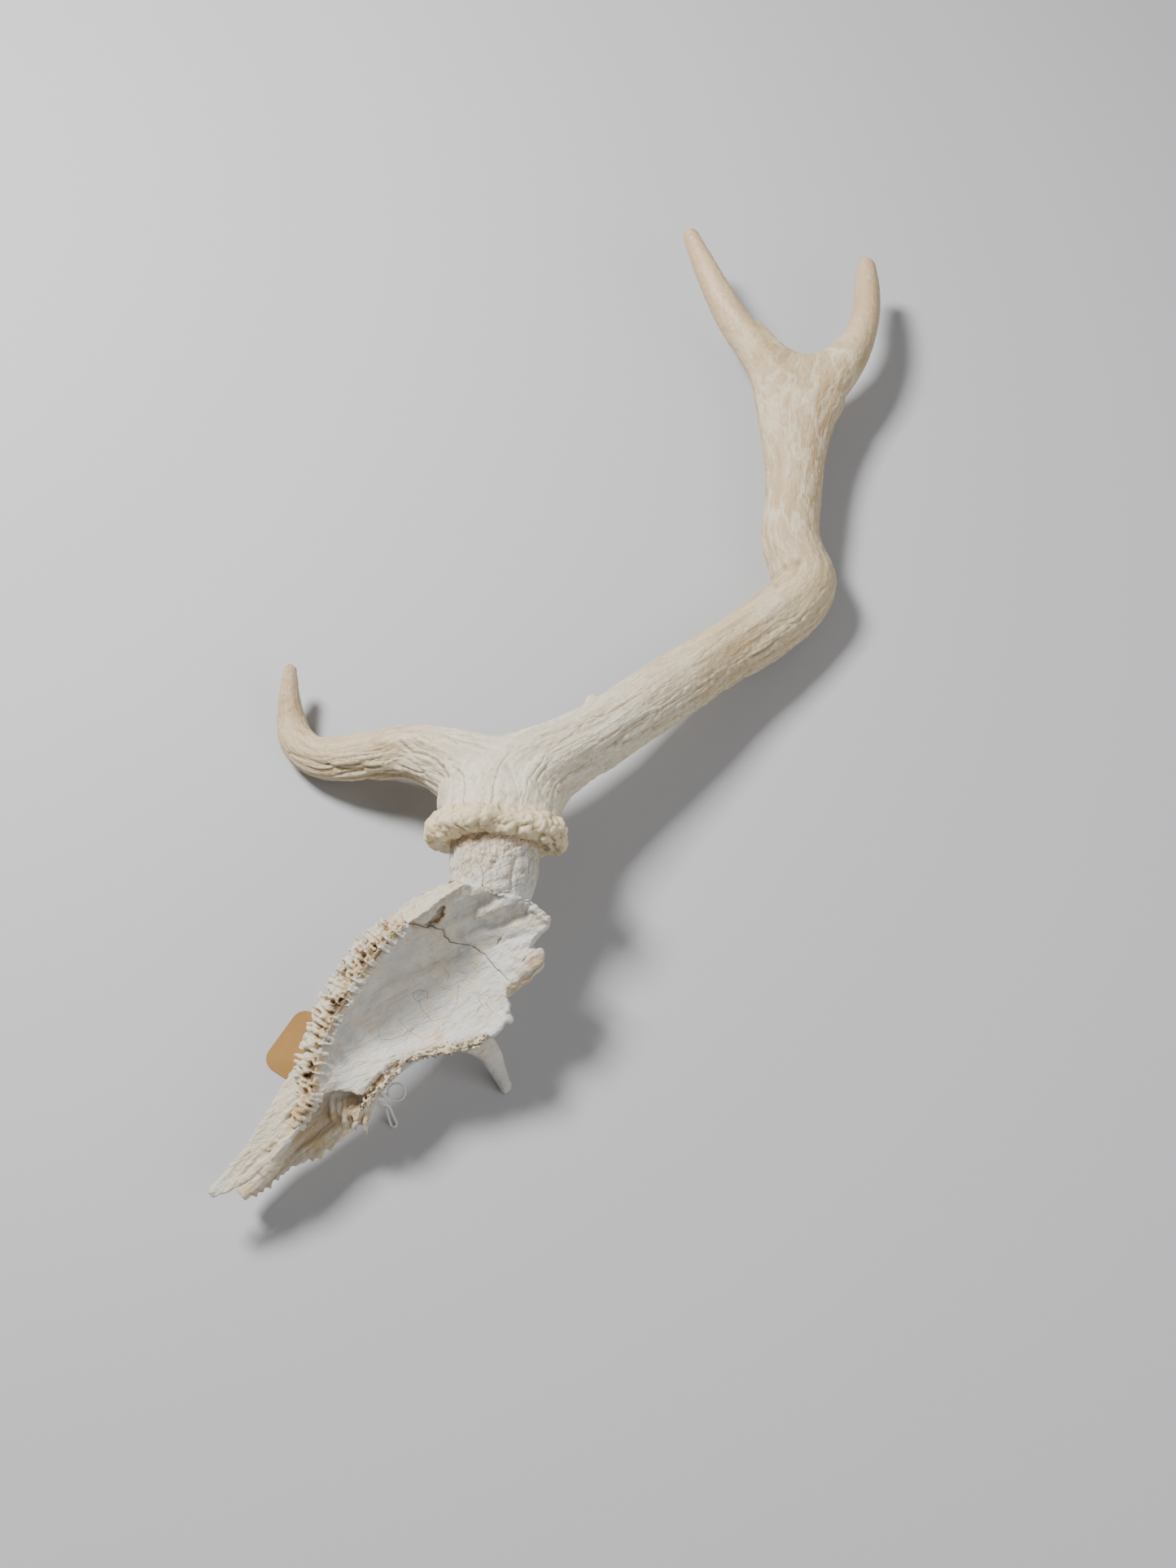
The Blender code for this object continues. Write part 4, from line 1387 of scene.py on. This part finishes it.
# %% Skull relief
SCRATCH_AXES = np.array([[0.86, 0.5, 0.1], [-0.5, 0.86, 0.0], [0.0, 0.0, 1.0]])
SPLINTER_AXES = np.array([[0.68, 0.73, 0.1], [-0.73, 0.68, 0.0], [0.0, 0.0, 1.0]])
RIM = [row[2] for row in ROOF]
LOBE = [(652, 1190, 24, 1.0)]  # x, y, radius and strength of the flaked lobe
BROKEN_FROM, FRONT_FROM = (236, 7), (226, 8)  # how far forward, and over how many mm it sets in
PLATE_TOP, PLATE_SLOPE = 27, 0.19  # height of the outer table's upper face, and its slope
PEDICLE_RIDGED, PEDICLE_STAINED = (-150, -143), (-147, -141)  # y over which each sets in
ROUGHER_REAR = (-176, -160)  # y over which the wrinkles of the dish get stronger
TIP_ROUGH = (6, 14)  # height over which the low end of the orbit's rim turns rough
TIP_SIDE = -60  # mm: that end lies to the right of this x


def near_line(points, line, reach):
    """1 on a line, fading to 0 at this distance from it."""
    return 1 - smooth_step(reach * 0.4, reach, away_from(line, points))


def forward_of(points, start, fade):
    """0 behind this place, 1 where the bone lies further forward."""
    return np.clip((-points[:, 1] - start) / fade, 0, 1)


def lower_plate(points):
    """1 on the broken outer table, 0 on the splinter that lies above it."""
    top = PLATE_TOP + (points[:, 1] + BROKEN_FROM[0]) * PLATE_SLOPE
    return smooth_step(0, 3, top - points[:, 2])


def rough_height(points, normals, fingered, flange, spongy, lobe):
    """Height of the bone's grain at each point, by the region that it lies in."""
    facing_up = smooth_step(0.1, 0.4, normals[:, 2])
    scratched, split = points @ SCRATCH_AXES.T, points @ SPLINTER_AXES.T
    broken = forward_of(points, *BROKEN_FROM)
    plate = lower_plate(points)
    height = noise(points, 11, 51) * 0.35 + noise(points, 3.2, 52) * 0.18
    height += noise(scratched, (7, 1.1, 2), 53) * 0.14 * facing_up * (1 - broken)
    wrinkles = folds(scratched, (12, 2.4, 6), 54) - 0.6
    rearward = 0.35 + 0.65 * smooth_step(*ROUGHER_REAR, points[:, 1])
    height += wrinkles * 0.55 * facing_up * rearward * (1 - broken)
    height += (folds(split, (24, 2.8, 6), 55) - 0.6) * (0.75 - 0.4 * plate) * broken
    height += noise(split, (9, 1.2, 2), 67) * 0.22 * broken
    height += noise(points, 1.3, 56) * (0.06 + 0.1 * fingered + 0.1 * broken * (1 - plate))
    height += (folds(points, 2.4, 57) - 0.6) * 0.14 * fingered
    height -= spongy * 1.5 * smooth_step(0.4, 0.7, lumps(points, 2.4, 59))
    height += spongy * (noise(points, 5, 58) * 0.9 - 0.4)
    height -= flange * 0.6 * smooth_step(0.6, 0.8, lumps(points, 1.9, 60))
    height += lobe * ((folds(split, (14, 1.8, 2.0), 61) - 0.6) * 2.2 + noise(points, 5, 69) * 1.5)
    height += lobe * noise(points, 2.4, 75) * 0.5
    rim = np.maximum(near_line(points, RIM, 5), near_line(points, INNER_LIP, 4.5))
    rim = rim * (0.3 + 0.7 * near_line(points, RIM, 5))
    height += rim * (noise(points, 4.2, 63) * 1.1 + noise(points, 1.7, 64) * 0.4)
    pedicle = smooth_step(*PEDICLE_RIDGED, points[:, 1])
    height += pedicle * ((folds(points, (2.2, 11, 2.2), 65) - 0.6) * 0.3 + noise(points, 4, 66) * 0.15)
    tip = (1 - smooth_step(*TIP_ROUGH, points[:, 2])) * (points[:, 0] > TIP_SIDE)
    return height + noise(points, 2.4, 62) * 0.6 * tip


# %% Push the skull, and what its pieces tell their material
def worked_bone(points, quads, comb):
    """The points after their relief, and what the material reads at each."""
    normals, places = normals_of(points, quads), in_frame(points)
    facing = facing_camera(points, normals)
    across, above, share = band_place(points)
    in_band = smooth_step(-0.02, 0.08, across) * (1 - smooth_step(1.2, 1.5, across))
    in_band *= smooth_step(-4, -2, above)
    toothed = smooth_step(*FINGERS_START, share)
    fingered = in_band * toothed * (1 - smooth_step(0.9, 0.97, share))
    # Low in the band between the fingers: painted brown, partly stain and partly painted shade.
    recess = fingered * (1 - smooth_step(-0.4, 3.6, above))
    flange = in_band * (1 - toothed)
    spongy = spongy_share(points) * (0 if comb else 1)
    lobe = patched(places, LOBE)
    height = rough_height(points, normals, fingered, flange, spongy, lobe)
    if not comb:
        height += facing * marked(places, DISH_FOLDS) * 1.15
    dark, fine = cracked(places, DARK_CRACKS), cracked(places, FINE_CRACKS)
    height -= facing * (0 if comb else 0.6) * np.exp(-((dark / 0.9) ** 2))
    pedicle = smooth_step(*PEDICLE_STAINED, points[:, 1])
    front = forward_of(points, *FRONT_FROM)
    plate = front * lower_plate(points)
    wave = np.column_stack([noise(points, 2.2, 73), noise(points, 2.2, 74)]) * PIT_WAVE
    pits = marked(places + wave, PITS) * facing
    # Painted shade just under the burr, added to the stains.
    shade = np.exp(-((line_reach(places, BURR_SHADE) / 9) ** 2)) * pedicle
    shown = (facing > SEEN) & (not comb)
    layers = {
        "cream": np.clip(in_band + 0.4 * front + 0.5 * plate + 0.3 * pedicle + 0.6 * lobe, 0, 1),
        "recess": np.minimum(np.maximum(recess, pits), 1.5),
        "pedicle": pedicle,
        "spongy": spongy,
        "stain_and_burr_shade": np.clip(patched(places, STAINS) * facing + 0.7 * shade + 0.15 * plate, 0, 1.2),
        "dark_crack": np.where(shown, dark, FAR),
        "fine_crack": np.where(shown, fine, FAR),
        "groove": height - smoothed(height, quads, 12),
    }
    return push(points, quads, height), layers


skull_pieces = []
for name, points, quads, comb in (
    ("skull_roof_bone", roof_points, roof_quads, False),
    ("skull_suture_bone", comb_points, comb_quads, True),
):
    worked, layers = worked_bone(points, quads, comb)
    look = ("skull_bone", "skull_bone", layers, normals_of(worked, quads))
    skull_pieces.append(finished(name, worked, quads, *look))

# %% [markdown]
# ## Building a material from nodes
#
# Each finish mixes a few colours by noise that runs with the growth, paints shade where the
# surface lies deep, and adds the bump that is too fine for the mesh. What the mesh knows, such as
# the depth of a groove or the distance to a crack, comes in through attributes.

# %% Node helpers
CRACK_WIDTH = {"crack": 0.65, "fine_crack": 0.65, "dark_crack": 0.85}  # pixels


def node(tree, kind, inputs=None, **settings):
    """A node with these settings; an input is a value or another node's output."""
    made = tree.nodes.new(kind)
    for name, value in settings.items():
        setattr(made, name, value)
    for name, value in (inputs or {}).items():
        if isinstance(value, bpy.types.NodeSocket):
            tree.links.new(value, made.inputs[name])
        else:
            made.inputs[name].default_value = value
    return made


def read(tree, name, kind="Fac"):
    return node(tree, "ShaderNodeAttribute", attribute_name=name).outputs[kind]


def stretched(tree, vector, scale, turn=0.0):
    """Coordinates that run this many units to one, along axes turned about the upright."""
    given = {"Vector": vector, "Rotation": (0, 0, turn), "Scale": [1 / part for part in scale]}
    return node(tree, "ShaderNodeMapping", given, vector_type="TEXTURE").outputs["Vector"]


def grain(tree, vector, detail=3.0, rough=0.55, bend=0.0):
    found = {"Vector": vector, "Scale": 1.0, "Detail": detail, "Roughness": rough, "Distortion": bend}
    return node(tree, "ShaderNodeTexNoise", found).outputs["Fac"]


def cells(tree, vector, feature="F1"):
    """Distance to the middle of a cell, or to its edge, in a pattern of packed cells."""
    found = {"Vector": vector, "Scale": 1.0}
    return node(tree, "ShaderNodeTexVoronoi", found, feature=feature).outputs["Distance"]


def level(tree, value, low, high, start=0.0, end=1.0):
    """The value as it rises smoothly from one level to another."""
    span = {"Value": value, "From Min": low, "From Max": high, "To Min": start, "To Max": end}
    return node(tree, "ShaderNodeMapRange", span, interpolation_type="SMOOTHSTEP").outputs["Result"]


def maths(tree, operation, first, second=0.0):
    """Two values put together; each is an output or a number."""
    return node(tree, "ShaderNodeMath", {0: first, 1: second}, operation=operation).outputs[0]


def times(tree, first, second):
    return maths(tree, "MULTIPLY", first, second)


def blend(tree, share, first, second):
    """A colour blended with another; each is an output or three numbers."""
    first, second = ((*c, 1) if isinstance(c, tuple) else c for c in (first, second))
    mixed = {0: share, 6: first, 7: second}
    return node(tree, "ShaderNodeMix", mixed, data_type="RGBA").outputs[2]


def bumped(tree, height, distance, strength=1.0, under=None):
    made = node(tree, "ShaderNodeBump", {"Height": height, "Distance": distance, "Strength": strength})
    if under is not None:
        tree.links.new(under, made.inputs["Normal"])
    return made.outputs["Normal"]


def new_material(name, roughness=0.6):
    made = bpy.data.materials.new(name)
    made.use_nodes = True
    shader = made.node_tree.nodes["Principled BSDF"]
    shader.inputs["Roughness"].default_value = roughness
    return made, made.node_tree, shader


def dress(tree, shader, colour, roughness, normal):
    for name, value in (("Base Color", colour), ("Roughness", roughness), ("Normal", normal)):
        tree.links.new(value, shader.inputs[name])


def crack_line(tree, name):
    """1 on a crack and 0 at its width away from it."""
    reach = maths(tree, "ABSOLUTE", read(tree, name))
    return level(tree, reach, CRACK_WIDTH[name] * 0.3, CRACK_WIDTH[name], 1.0, 0.0)


# %% [markdown]
# ## Dry antler
#
# Dry antler is cream, with long tan streaks where blood vessels lay in the skin that grew it,
# dirt and painted shade in the grooves, and ridges made paler, partly for wear and partly as a
# painted highlight. The trunk is whiter and the burr more yellow.
# The palm of the top fork is tan, and pale vein lines wander over it. The points are smooth,
# pinkish and a little glossier. The streaks read the flow coordinates of the beam and of the
# brow tine, so they follow both.

# %% Colours and streaks of antler
ANTLER_CREAM = (0.64, 0.51, 0.305)
ANTLER_PALE = (0.74, 0.65, 0.48)
ANTLER_WHITE = (0.75, 0.705, 0.59)
ANTLER_TAN = (0.47, 0.32, 0.16)
ANTLER_PINK = (0.58, 0.405, 0.235)
# dark for dirt, cracks and specks, and for the painted shade in the grooves
ANTLER_DIRT_AND_SHADE = (0.25, 0.175, 0.105)
ANTLER_GREY = (0.45, 0.385, 0.28)
BURR_YELLOW = (0.70, 0.55, 0.31)
VEIN_DRIFT = 13  # mm that noise moves the veins about


def antler_streaks(tree, scale, detail=4.0, bend=0.3):
    """Long streaks that follow the beam, or the brow tine where the antler belongs to it."""
    found = []
    for name in ("beam_flow", "brow_flow"):
        flow = stretched(tree, read(tree, name, "Vector"), scale)
        found.append(grain(tree, flow, detail, 0.6, bend))
    mixed = {0: read(tree, "brow_share"), 2: found[0], 3: found[1]}
    return node(tree, "ShaderNodeMix", mixed, data_type="FLOAT").outputs[0]


def vein_lines(tree):
    """Pale lines that wander over the palm: the edges of long cells, drawn about by noise."""
    place = read(tree, "beam_flow", "Vector")
    found = {"Vector": stretched(tree, place, (0.12, 0.12, 0.07)), "Scale": 1.0, "Detail": 2.0}
    drift = node(tree, "ShaderNodeTexNoise", found).outputs["Color"]
    moved = {0: drift, 1: (VEIN_DRIFT,) * 3, 2: place}
    moved = node(tree, "ShaderNodeVectorMath", moved, operation="MULTIPLY_ADD").outputs[0]
    away = cells(tree, stretched(tree, moved, (0.13, 0.13, 0.022)), "DISTANCE_TO_EDGE")
    return times(tree, level(tree, away, 0.01, 0.13, 1.0, 0.0), read(tree, "palm"))


# %% Antler finish
def antler_material():
    made, tree, shader = new_material("dry_antler")
    place = node(tree, "ShaderNodeTexCoord").outputs["Object"]
    broad = antler_streaks(tree, (0.16, 0.16, 0.022), 3.0, 1.3)
    fine = antler_streaks(tree, (0.75, 0.75, 0.05), 4.0, 0.4)
    mottle = grain(tree, stretched(tree, place, (38, 38, 38)), 4.0)
    speck = grain(tree, stretched(tree, place, (420, 420, 420)), 3.0)
    colour = blend(tree, level(tree, broad, 0.44, 0.66), ANTLER_CREAM, ANTLER_TAN)
    streaked = level(tree, read(tree, "palm"), 0.0, 1.0, 0.55, 0.25)
    colour = blend(tree, times(tree, level(tree, fine, 0.5, 0.72), streaked), colour, ANTLER_TAN)
    colour = blend(tree, times(tree, level(tree, mottle, 0.5, 0.75), 0.5), colour, ANTLER_PALE)
    dull = antler_streaks(tree, (0.75, 0.75, 0.2), 6.0, 0.8)
    white = times(tree, read(tree, "trunk"), level(tree, broad, 0.3, 0.6, 0.85, 0.5))
    colour = blend(tree, white, colour, ANTLER_WHITE)
    colour = blend(tree, times(tree, level(tree, dull, 0.47, 0.62), 0.6), colour, ANTLER_GREY)
    colour = blend(tree, times(tree, read(tree, "burr"), 0.8), colour, BURR_YELLOW)
    colour = blend(tree, times(tree, read(tree, "tip"), 0.7), colour, ANTLER_PINK)
    colour = blend(tree, times(tree, read(tree, "palm"), 0.32), colour, ANTLER_TAN)
    vein = times(tree, vein_lines(tree), level(tree, mottle, 0.3, 0.6, 0.25, 0.6))
    colour = blend(tree, vein, colour, ANTLER_PALE)
    height = read(tree, "groove")
    # Ridges painted paler: partly wear, partly a painted highlight.
    ridge_wear_and_highlight = times(tree, level(tree, height, 0.05, 0.4), 0.65)
    colour = blend(tree, ridge_wear_and_highlight, colour, ANTLER_PALE)
    # Grooves painted darker: partly dirt, partly painted shade.
    sunk = times(tree, level(tree, height, -0.08, -0.6), 0.68)
    groove_dirt_and_shade = times(tree, sunk, level(tree, mottle, 0.25, 0.6, 0.45, 1.0))
    colour = blend(tree, groove_dirt_and_shade, colour, ANTLER_DIRT_AND_SHADE)
    colour = blend(tree, times(tree, level(tree, speck, 0.58, 0.75), 0.28), colour, ANTLER_DIRT_AND_SHADE)
    crack = crack_line(tree, "crack")
    colour = blend(tree, times(tree, crack, 0.8), colour, ANTLER_DIRT_AND_SHADE)
    gloss = level(tree, read(tree, "tip"), 0.0, 1.0, 0.62, 0.42)
    gloss = maths(tree, "ADD", gloss, level(tree, speck, 0.3, 0.7, -0.05, 0.08))
    normal = bumped(tree, fine, 0.0006, 0.5)
    normal = bumped(tree, dull, 0.0012, 0.6, normal)
    normal = bumped(tree, speck, 0.0004, 0.6, normal)
    dress(tree, shader, colour, gloss, normal)
    return made


antler_finish = antler_material()
for piece in antler_pieces:
    piece.data.materials.append(antler_finish)
print("antler nodes:", len(antler_finish.node_tree.nodes))

# %% [markdown]
# ## Weathered bone
#
# The inner side of the skull is cool, greyish white with faint cream patches, a net of hair
# cracks and fine scratches. Its broken edges are warmer: cream on the fingers' tips, golden
# where the spongy bone lies open, and brown in the depths, partly stain and partly painted
# shade. Painted shade also darkens the grooves.

# %% Bone finish
BONE_WHITE = (0.70, 0.672, 0.612)
BONE_GREY = (0.60, 0.588, 0.555)
BONE_DULL = (0.52, 0.50, 0.45)
BONE_CREAM = (0.70, 0.60, 0.43)
BONE_GOLD = (0.54, 0.375, 0.185)
BONE_BROWN = (0.15, 0.085, 0.04)
CRACK_TAN = (0.25, 0.175, 0.105)
CRACK_DARK = (0.11, 0.085, 0.065)


def bone_material():
    made, tree, shader = new_material("weathered_bone")
    place = node(tree, "ShaderNodeTexCoord").outputs["Object"]
    cloud = grain(tree, stretched(tree, place, (42, 42, 42)), 4.0)
    patch = grain(tree, stretched(tree, place, (95, 95, 95)), 3.0, 0.5, 0.8)
    speck = grain(tree, stretched(tree, place, (520, 520, 520)), 3.0)
    scratch = grain(tree, stretched(tree, place, (70, 900, 240), math.radians(30)), 3.0, 0.6)
    streak = grain(tree, stretched(tree, place, (60, 650, 420), math.radians(47)), 3.0, 0.6)
    mottle = grain(tree, stretched(tree, place, (190, 290, 240), math.radians(30)), 6.0, 0.65, 0.8)
    colour = blend(tree, level(tree, cloud, 0.35, 0.62), BONE_GREY, BONE_WHITE)
    colour = blend(tree, times(tree, level(tree, mottle, 0.46, 0.62), 0.4), colour, BONE_DULL)
    warm = times(tree, level(tree, patch, 0.43, 0.68), 0.65)
    colour = blend(tree, warm, colour, BONE_CREAM)
    cream = times(tree, read(tree, "cream"), level(tree, cloud, 0.3, 0.6, 0.6, 0.95))
    colour = blend(tree, cream, colour, BONE_CREAM)
    colour = blend(tree, times(tree, level(tree, scratch, 0.55, 0.75), 0.22), colour, BONE_GREY)
    lined = times(tree, read(tree, "cream"), level(tree, streak, 0.5, 0.72))
    colour = blend(tree, times(tree, lined, 0.4), colour, BONE_GOLD)
    net = cells(tree, stretched(tree, place, (150, 150, 150)), "DISTANCE_TO_EDGE")
    bent = grain(tree, stretched(tree, place, (300, 300, 300)), 2.0)
    net = maths(tree, "ADD", net, level(tree, bent, 0.3, 0.7, -0.02, 0.03))
    seen = level(tree, patch, 0.56, 0.68)
    hairs = times(tree, level(tree, net, 0.006, 0.03, 1.0, 0.0), seen)
    colour = blend(tree, times(tree, hairs, 0.42), colour, CRACK_TAN)
    # Stains, and the painted shade under the burr.
    stain_and_burr_shade = times(tree, read(tree, "stain_and_burr_shade"), level(tree, cloud, 0.2, 0.55, 0.55, 1.1))
    stain_and_burr_shade = times(tree, stain_and_burr_shade, level(tree, streak, 0.3, 0.6, 0.55, 1.15))
    colour = blend(tree, level(tree, stain_and_burr_shade, 0.05, 0.8, 0.0, 0.85), colour, BONE_GOLD)
    colour = blend(tree, level(tree, stain_and_burr_shade, 0.85, 1.3, 0.0, 0.7), colour, BONE_BROWN)
    # Brown deep between the fingers and in the pits: partly stain, partly painted shade.
    recess = times(tree, read(tree, "recess"), level(tree, patch, 0.25, 0.6, 0.45, 1.1))
    colour = blend(tree, level(tree, recess, 0.05, 0.6, 0.0, 0.75), colour, BONE_GOLD)
    colour = blend(tree, level(tree, recess, 0.7, 1.05, 0.0, 0.9), colour, BONE_BROWN)
    height = read(tree, "groove")
    # Painted shade in the grooves: golden on the cream parts, grey after that.
    hollow = times(tree, level(tree, height, -0.06, -0.5), read(tree, "cream"))
    colour = blend(tree, times(tree, hollow, 0.7), colour, BONE_GOLD)
    shaded = times(tree, level(tree, height, -0.05, -0.4), 0.35)
    colour = blend(tree, shaded, colour, BONE_GREY)
    pore = cells(tree, stretched(tree, place, (620, 620, 620)))
    spongy = read(tree, "spongy")
    open_pore = times(tree, level(tree, pore, 0.2, 0.42, 1.0, 0.0), spongy)
    colour = blend(tree, times(tree, spongy, 0.6), colour, BONE_CREAM)
    colour = blend(tree, times(tree, spongy, 0.3), colour, BONE_GOLD)
    colour = blend(tree, times(tree, open_pore, 0.75), colour, BONE_BROWN)
    # Painted shade in the hollows of the spongy bone.
    deep = times(tree, level(tree, height, -0.1, -0.5), spongy)
    colour = blend(tree, times(tree, deep, 0.9), colour, BONE_BROWN)
    colour = blend(tree, times(tree, level(tree, speck, 0.6, 0.78), 0.25), colour, CRACK_TAN)
    fine = times(tree, crack_line(tree, "fine_crack"), 0.72)
    colour = blend(tree, fine, colour, CRACK_TAN)
    dark = crack_line(tree, "dark_crack")
    colour = blend(tree, times(tree, dark, 0.9), colour, CRACK_DARK)
    bark = cells(tree, stretched(tree, place, (330, 95, 330)), "DISTANCE_TO_EDGE")
    bark = maths(tree, "ADD", bark, level(tree, bent, 0.3, 0.7, -0.05, 0.05))
    bark = times(tree, level(tree, bark, 0.0, 0.1, 1.0, 0.0), read(tree, "pedicle"))
    colour = blend(tree, times(tree, bark, 0.34), colour, CRACK_TAN)
    wrinkle = grain(tree, stretched(tree, place, (75, 280, 200), math.radians(30)), 5.0, 0.6, 1.5)
    gloss = level(tree, speck, 0.3, 0.7, 0.55, 0.72)
    normal = bumped(tree, scratch, 0.0004, 0.6)
    normal = bumped(tree, wrinkle, 0.0022, 0.6, normal)
    normal = bumped(tree, mottle, 0.0016, 0.6, normal)
    normal = bumped(tree, times(tree, bark, -1.0), 0.0005, 0.45, normal)
    normal = bumped(tree, speck, 0.0002, 0.5, normal)
    normal = bumped(tree, times(tree, lined, -1.0), 0.0006, 0.5, normal)
    normal = bumped(tree, times(tree, open_pore, -1.0), 0.0007, 0.7, normal)
    dress(tree, shader, colour, gloss, normal)
    return made


bone_finish = bone_material()
for piece in skull_pieces:
    piece.data.materials.append(bone_finish)
print("bone nodes:", len(bone_finish.node_tree.nodes))

# %% [markdown]
# ## Kraft card
#
# The tag is uncoated brown card: short paper fibres, lighter and darker flecks, and a matte
# face. It has no writing on it.

# %% Card finish
KRAFT_BROWN = (0.30, 0.155, 0.04)
KRAFT_LIGHT = (0.35, 0.19, 0.052)
FIBRE_PALE = (0.41, 0.24, 0.085)
FIBRE_DARK = (0.26, 0.13, 0.042)
KRAFT_FLECK = (0.22, 0.12, 0.05)


def card_material():
    made, tree, shader = new_material("kraft_card")
    place = node(tree, "ShaderNodeTexCoord").outputs["Object"]
    cloud = grain(tree, stretched(tree, place, (60, 60, 60)), 4.0)
    one = grain(tree, stretched(tree, place, (260, 1500, 900), 0.5), 3.0, 0.6, 1.2)
    two = grain(tree, stretched(tree, place, (1400, 240, 900), 0.8), 3.0, 0.6, 1.2)
    fleck = grain(tree, stretched(tree, place, (900, 900, 900)), 2.0)
    colour = blend(tree, level(tree, cloud, 0.3, 0.7), KRAFT_BROWN, KRAFT_LIGHT)
    colour = blend(tree, times(tree, level(tree, one, 0.5, 0.75), 0.5), colour, FIBRE_PALE)
    colour = blend(tree, times(tree, level(tree, two, 0.55, 0.78), 0.5), colour, FIBRE_DARK)
    colour = blend(tree, times(tree, level(tree, fleck, 0.66, 0.75), 0.5), colour, KRAFT_FLECK)
    gloss = level(tree, one, 0.3, 0.7, 0.78, 0.9)
    normal = bumped(tree, maths(tree, "ADD", one, two), 0.0001, 0.5)
    dress(tree, shader, colour, gloss, normal)
    return made


card_finish = card_material()
card = frame["nodes"]["paper_tag"]
card.data.materials.clear()
card.data.materials.append(card_finish)
print("card nodes:", len(card_finish.node_tree.nodes))

# %% [markdown]
# ## Cotton thread
#
# Each ply is spun from fibres that run slantwise round it. The strand's own flow coordinates
# turn with the twist, so the fibres do as well.

# %% Thread and its finish
COTTON_GREY = (0.70, 0.68, 0.64)
COTTON_WHITE = (0.84, 0.83, 0.80)
COTTON_SHADE = (0.58, 0.55, 0.50)
STRAND_STEP = 0.3  # mm between the rings of the strand


def cotton_material():
    made, tree, shader = new_material("cotton")
    flow = read(tree, "flow", "Vector")
    fibre = grain(tree, stretched(tree, flow, (9, 9, 1.4)), 3.0, 0.6, 0.3)
    fuzz = grain(tree, stretched(tree, flow, (14, 14, 12)), 2.0)
    depth = level(tree, read(tree, "waist"), 0.8, 0.95)
    colour = blend(tree, level(tree, fibre, 0.35, 0.65), COTTON_GREY, COTTON_WHITE)
    colour = blend(tree, depth, COTTON_SHADE, colour)
    gloss = level(tree, fuzz, 0.3, 0.7, 0.8, 0.95)
    normal = bumped(tree, maths(tree, "ADD", fibre, fuzz), 0.00008, 0.7)
    dress(tree, shader, colour, gloss, normal)
    return made


def add_thread():
    """The strand as a mesh, with its flow coordinates and the line it follows."""
    places = through(thread_route(), int(length_of(thread_route()) / STRAND_STEP))
    rings, turned = twisted_rings(places)
    data = skin([ring * MM for ring in rings])
    data.name = "tag_thread_strand"
    waist = np.hypot(turned[:, 0], turned[:, 1]) / (THREAD_DIAMETER / 2)
    data.attributes.new("flow", "FLOAT_VECTOR", "POINT").data.foreach_set("vector", turned.ravel())
    data.attributes.new("waist", "FLOAT", "POINT").data.foreach_set("value", waist)
    data.shade_smooth()
    data.materials.append(cotton_material())
    strand = bpy.data.objects.new("tag_thread_strand", data)
    bpy.context.scene.collection.objects.link(strand)
    return strand, places


thread, thread_line = add_thread()
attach(thread, "root")
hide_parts("tag_thread")
length_of(thread_route()) * MM
print(f"thread: {len(thread.data.polygons)} faces")

# %% [markdown]
# ## Floor and light
#
# A pale floor and broad, soft lamps, the strongest from the far left as in the photograph.

# %% Floor and light
FLOOR_SIZE, FLOOR_DROP = 6, 0.00005  # metres; it lies a hair below the part
FLOOR_COLOUR = (0.46, 0.46, 0.47, 1)
SKY_COLOUR, SKY_STRENGTH = (0.97, 0.98, 1, 1), 0.2
LAMPS = {  # place and aim in metres, width in metres, and power in watts
    "key_lamp": ((-0.68, 0.48, 1.1), (0, -0.05, 0), 0.34, 38),
    "fill_lamp": ((0.9, -0.6, 0.9), (0, 0, 0), 1.0, 8),
}
floor_data = bpy.data.meshes.new("floor")
half = FLOOR_SIZE / 2
corners = [(-half, -half, 0), (half, -half, 0), (half, half, 0), (-half, half, 0)]
floor_data.from_pydata(corners, [], [(0, 1, 2, 3)])
floor = bpy.data.objects.new("floor", floor_data)
floor.location.z = -FLOOR_DROP
bpy.context.scene.collection.objects.link(floor)
floor_finish, _, floor_shader = new_material("pale_floor", 0.75)
floor_shader.inputs["Base Color"].default_value = FLOOR_COLOUR
floor_data.materials.append(floor_finish)
floor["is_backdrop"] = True


def add_lamp(name, place, aim, width, power):
    data = bpy.data.lights.new(name, "AREA")
    data.size = width
    data.energy = power
    lamp = bpy.data.objects.new(name, data)
    lamp.location = place
    lamp.rotation_euler = (Vector(aim) - Vector(place)).to_track_quat("-Z", "Y").to_euler()
    bpy.context.scene.collection.objects.link(lamp)


for name, lamp in LAMPS.items():
    add_lamp(name, *lamp)
    print(f"{name}: {lamp[-1]} W")
world = bpy.data.worlds.new("studio")
bpy.context.scene.world = world
world.use_nodes = True
world.node_tree.nodes["Background"].inputs["Color"].default_value = SKY_COLOUR
world.node_tree.nodes["Background"].inputs["Strength"].default_value = SKY_STRENGTH

# %% [markdown]
# ## The sizes
#
# Relief may move the surface, but not change the size of the part. The boxes round the solid
# and the dressed model are printed side by side.

# %% Sizes of the solid and the dressed model
visual_box = [list(corner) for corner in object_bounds()]
for axis in range(3):
    cad = CAD_BOX[1][axis] - CAD_BOX[0][axis]
    seen = visual_box[1][axis] - visual_box[0][axis]
    print(f"{'xyz'[axis]}: solid {cad * 1000:.1f} mm, dressed {seen * 1000:.1f} mm")
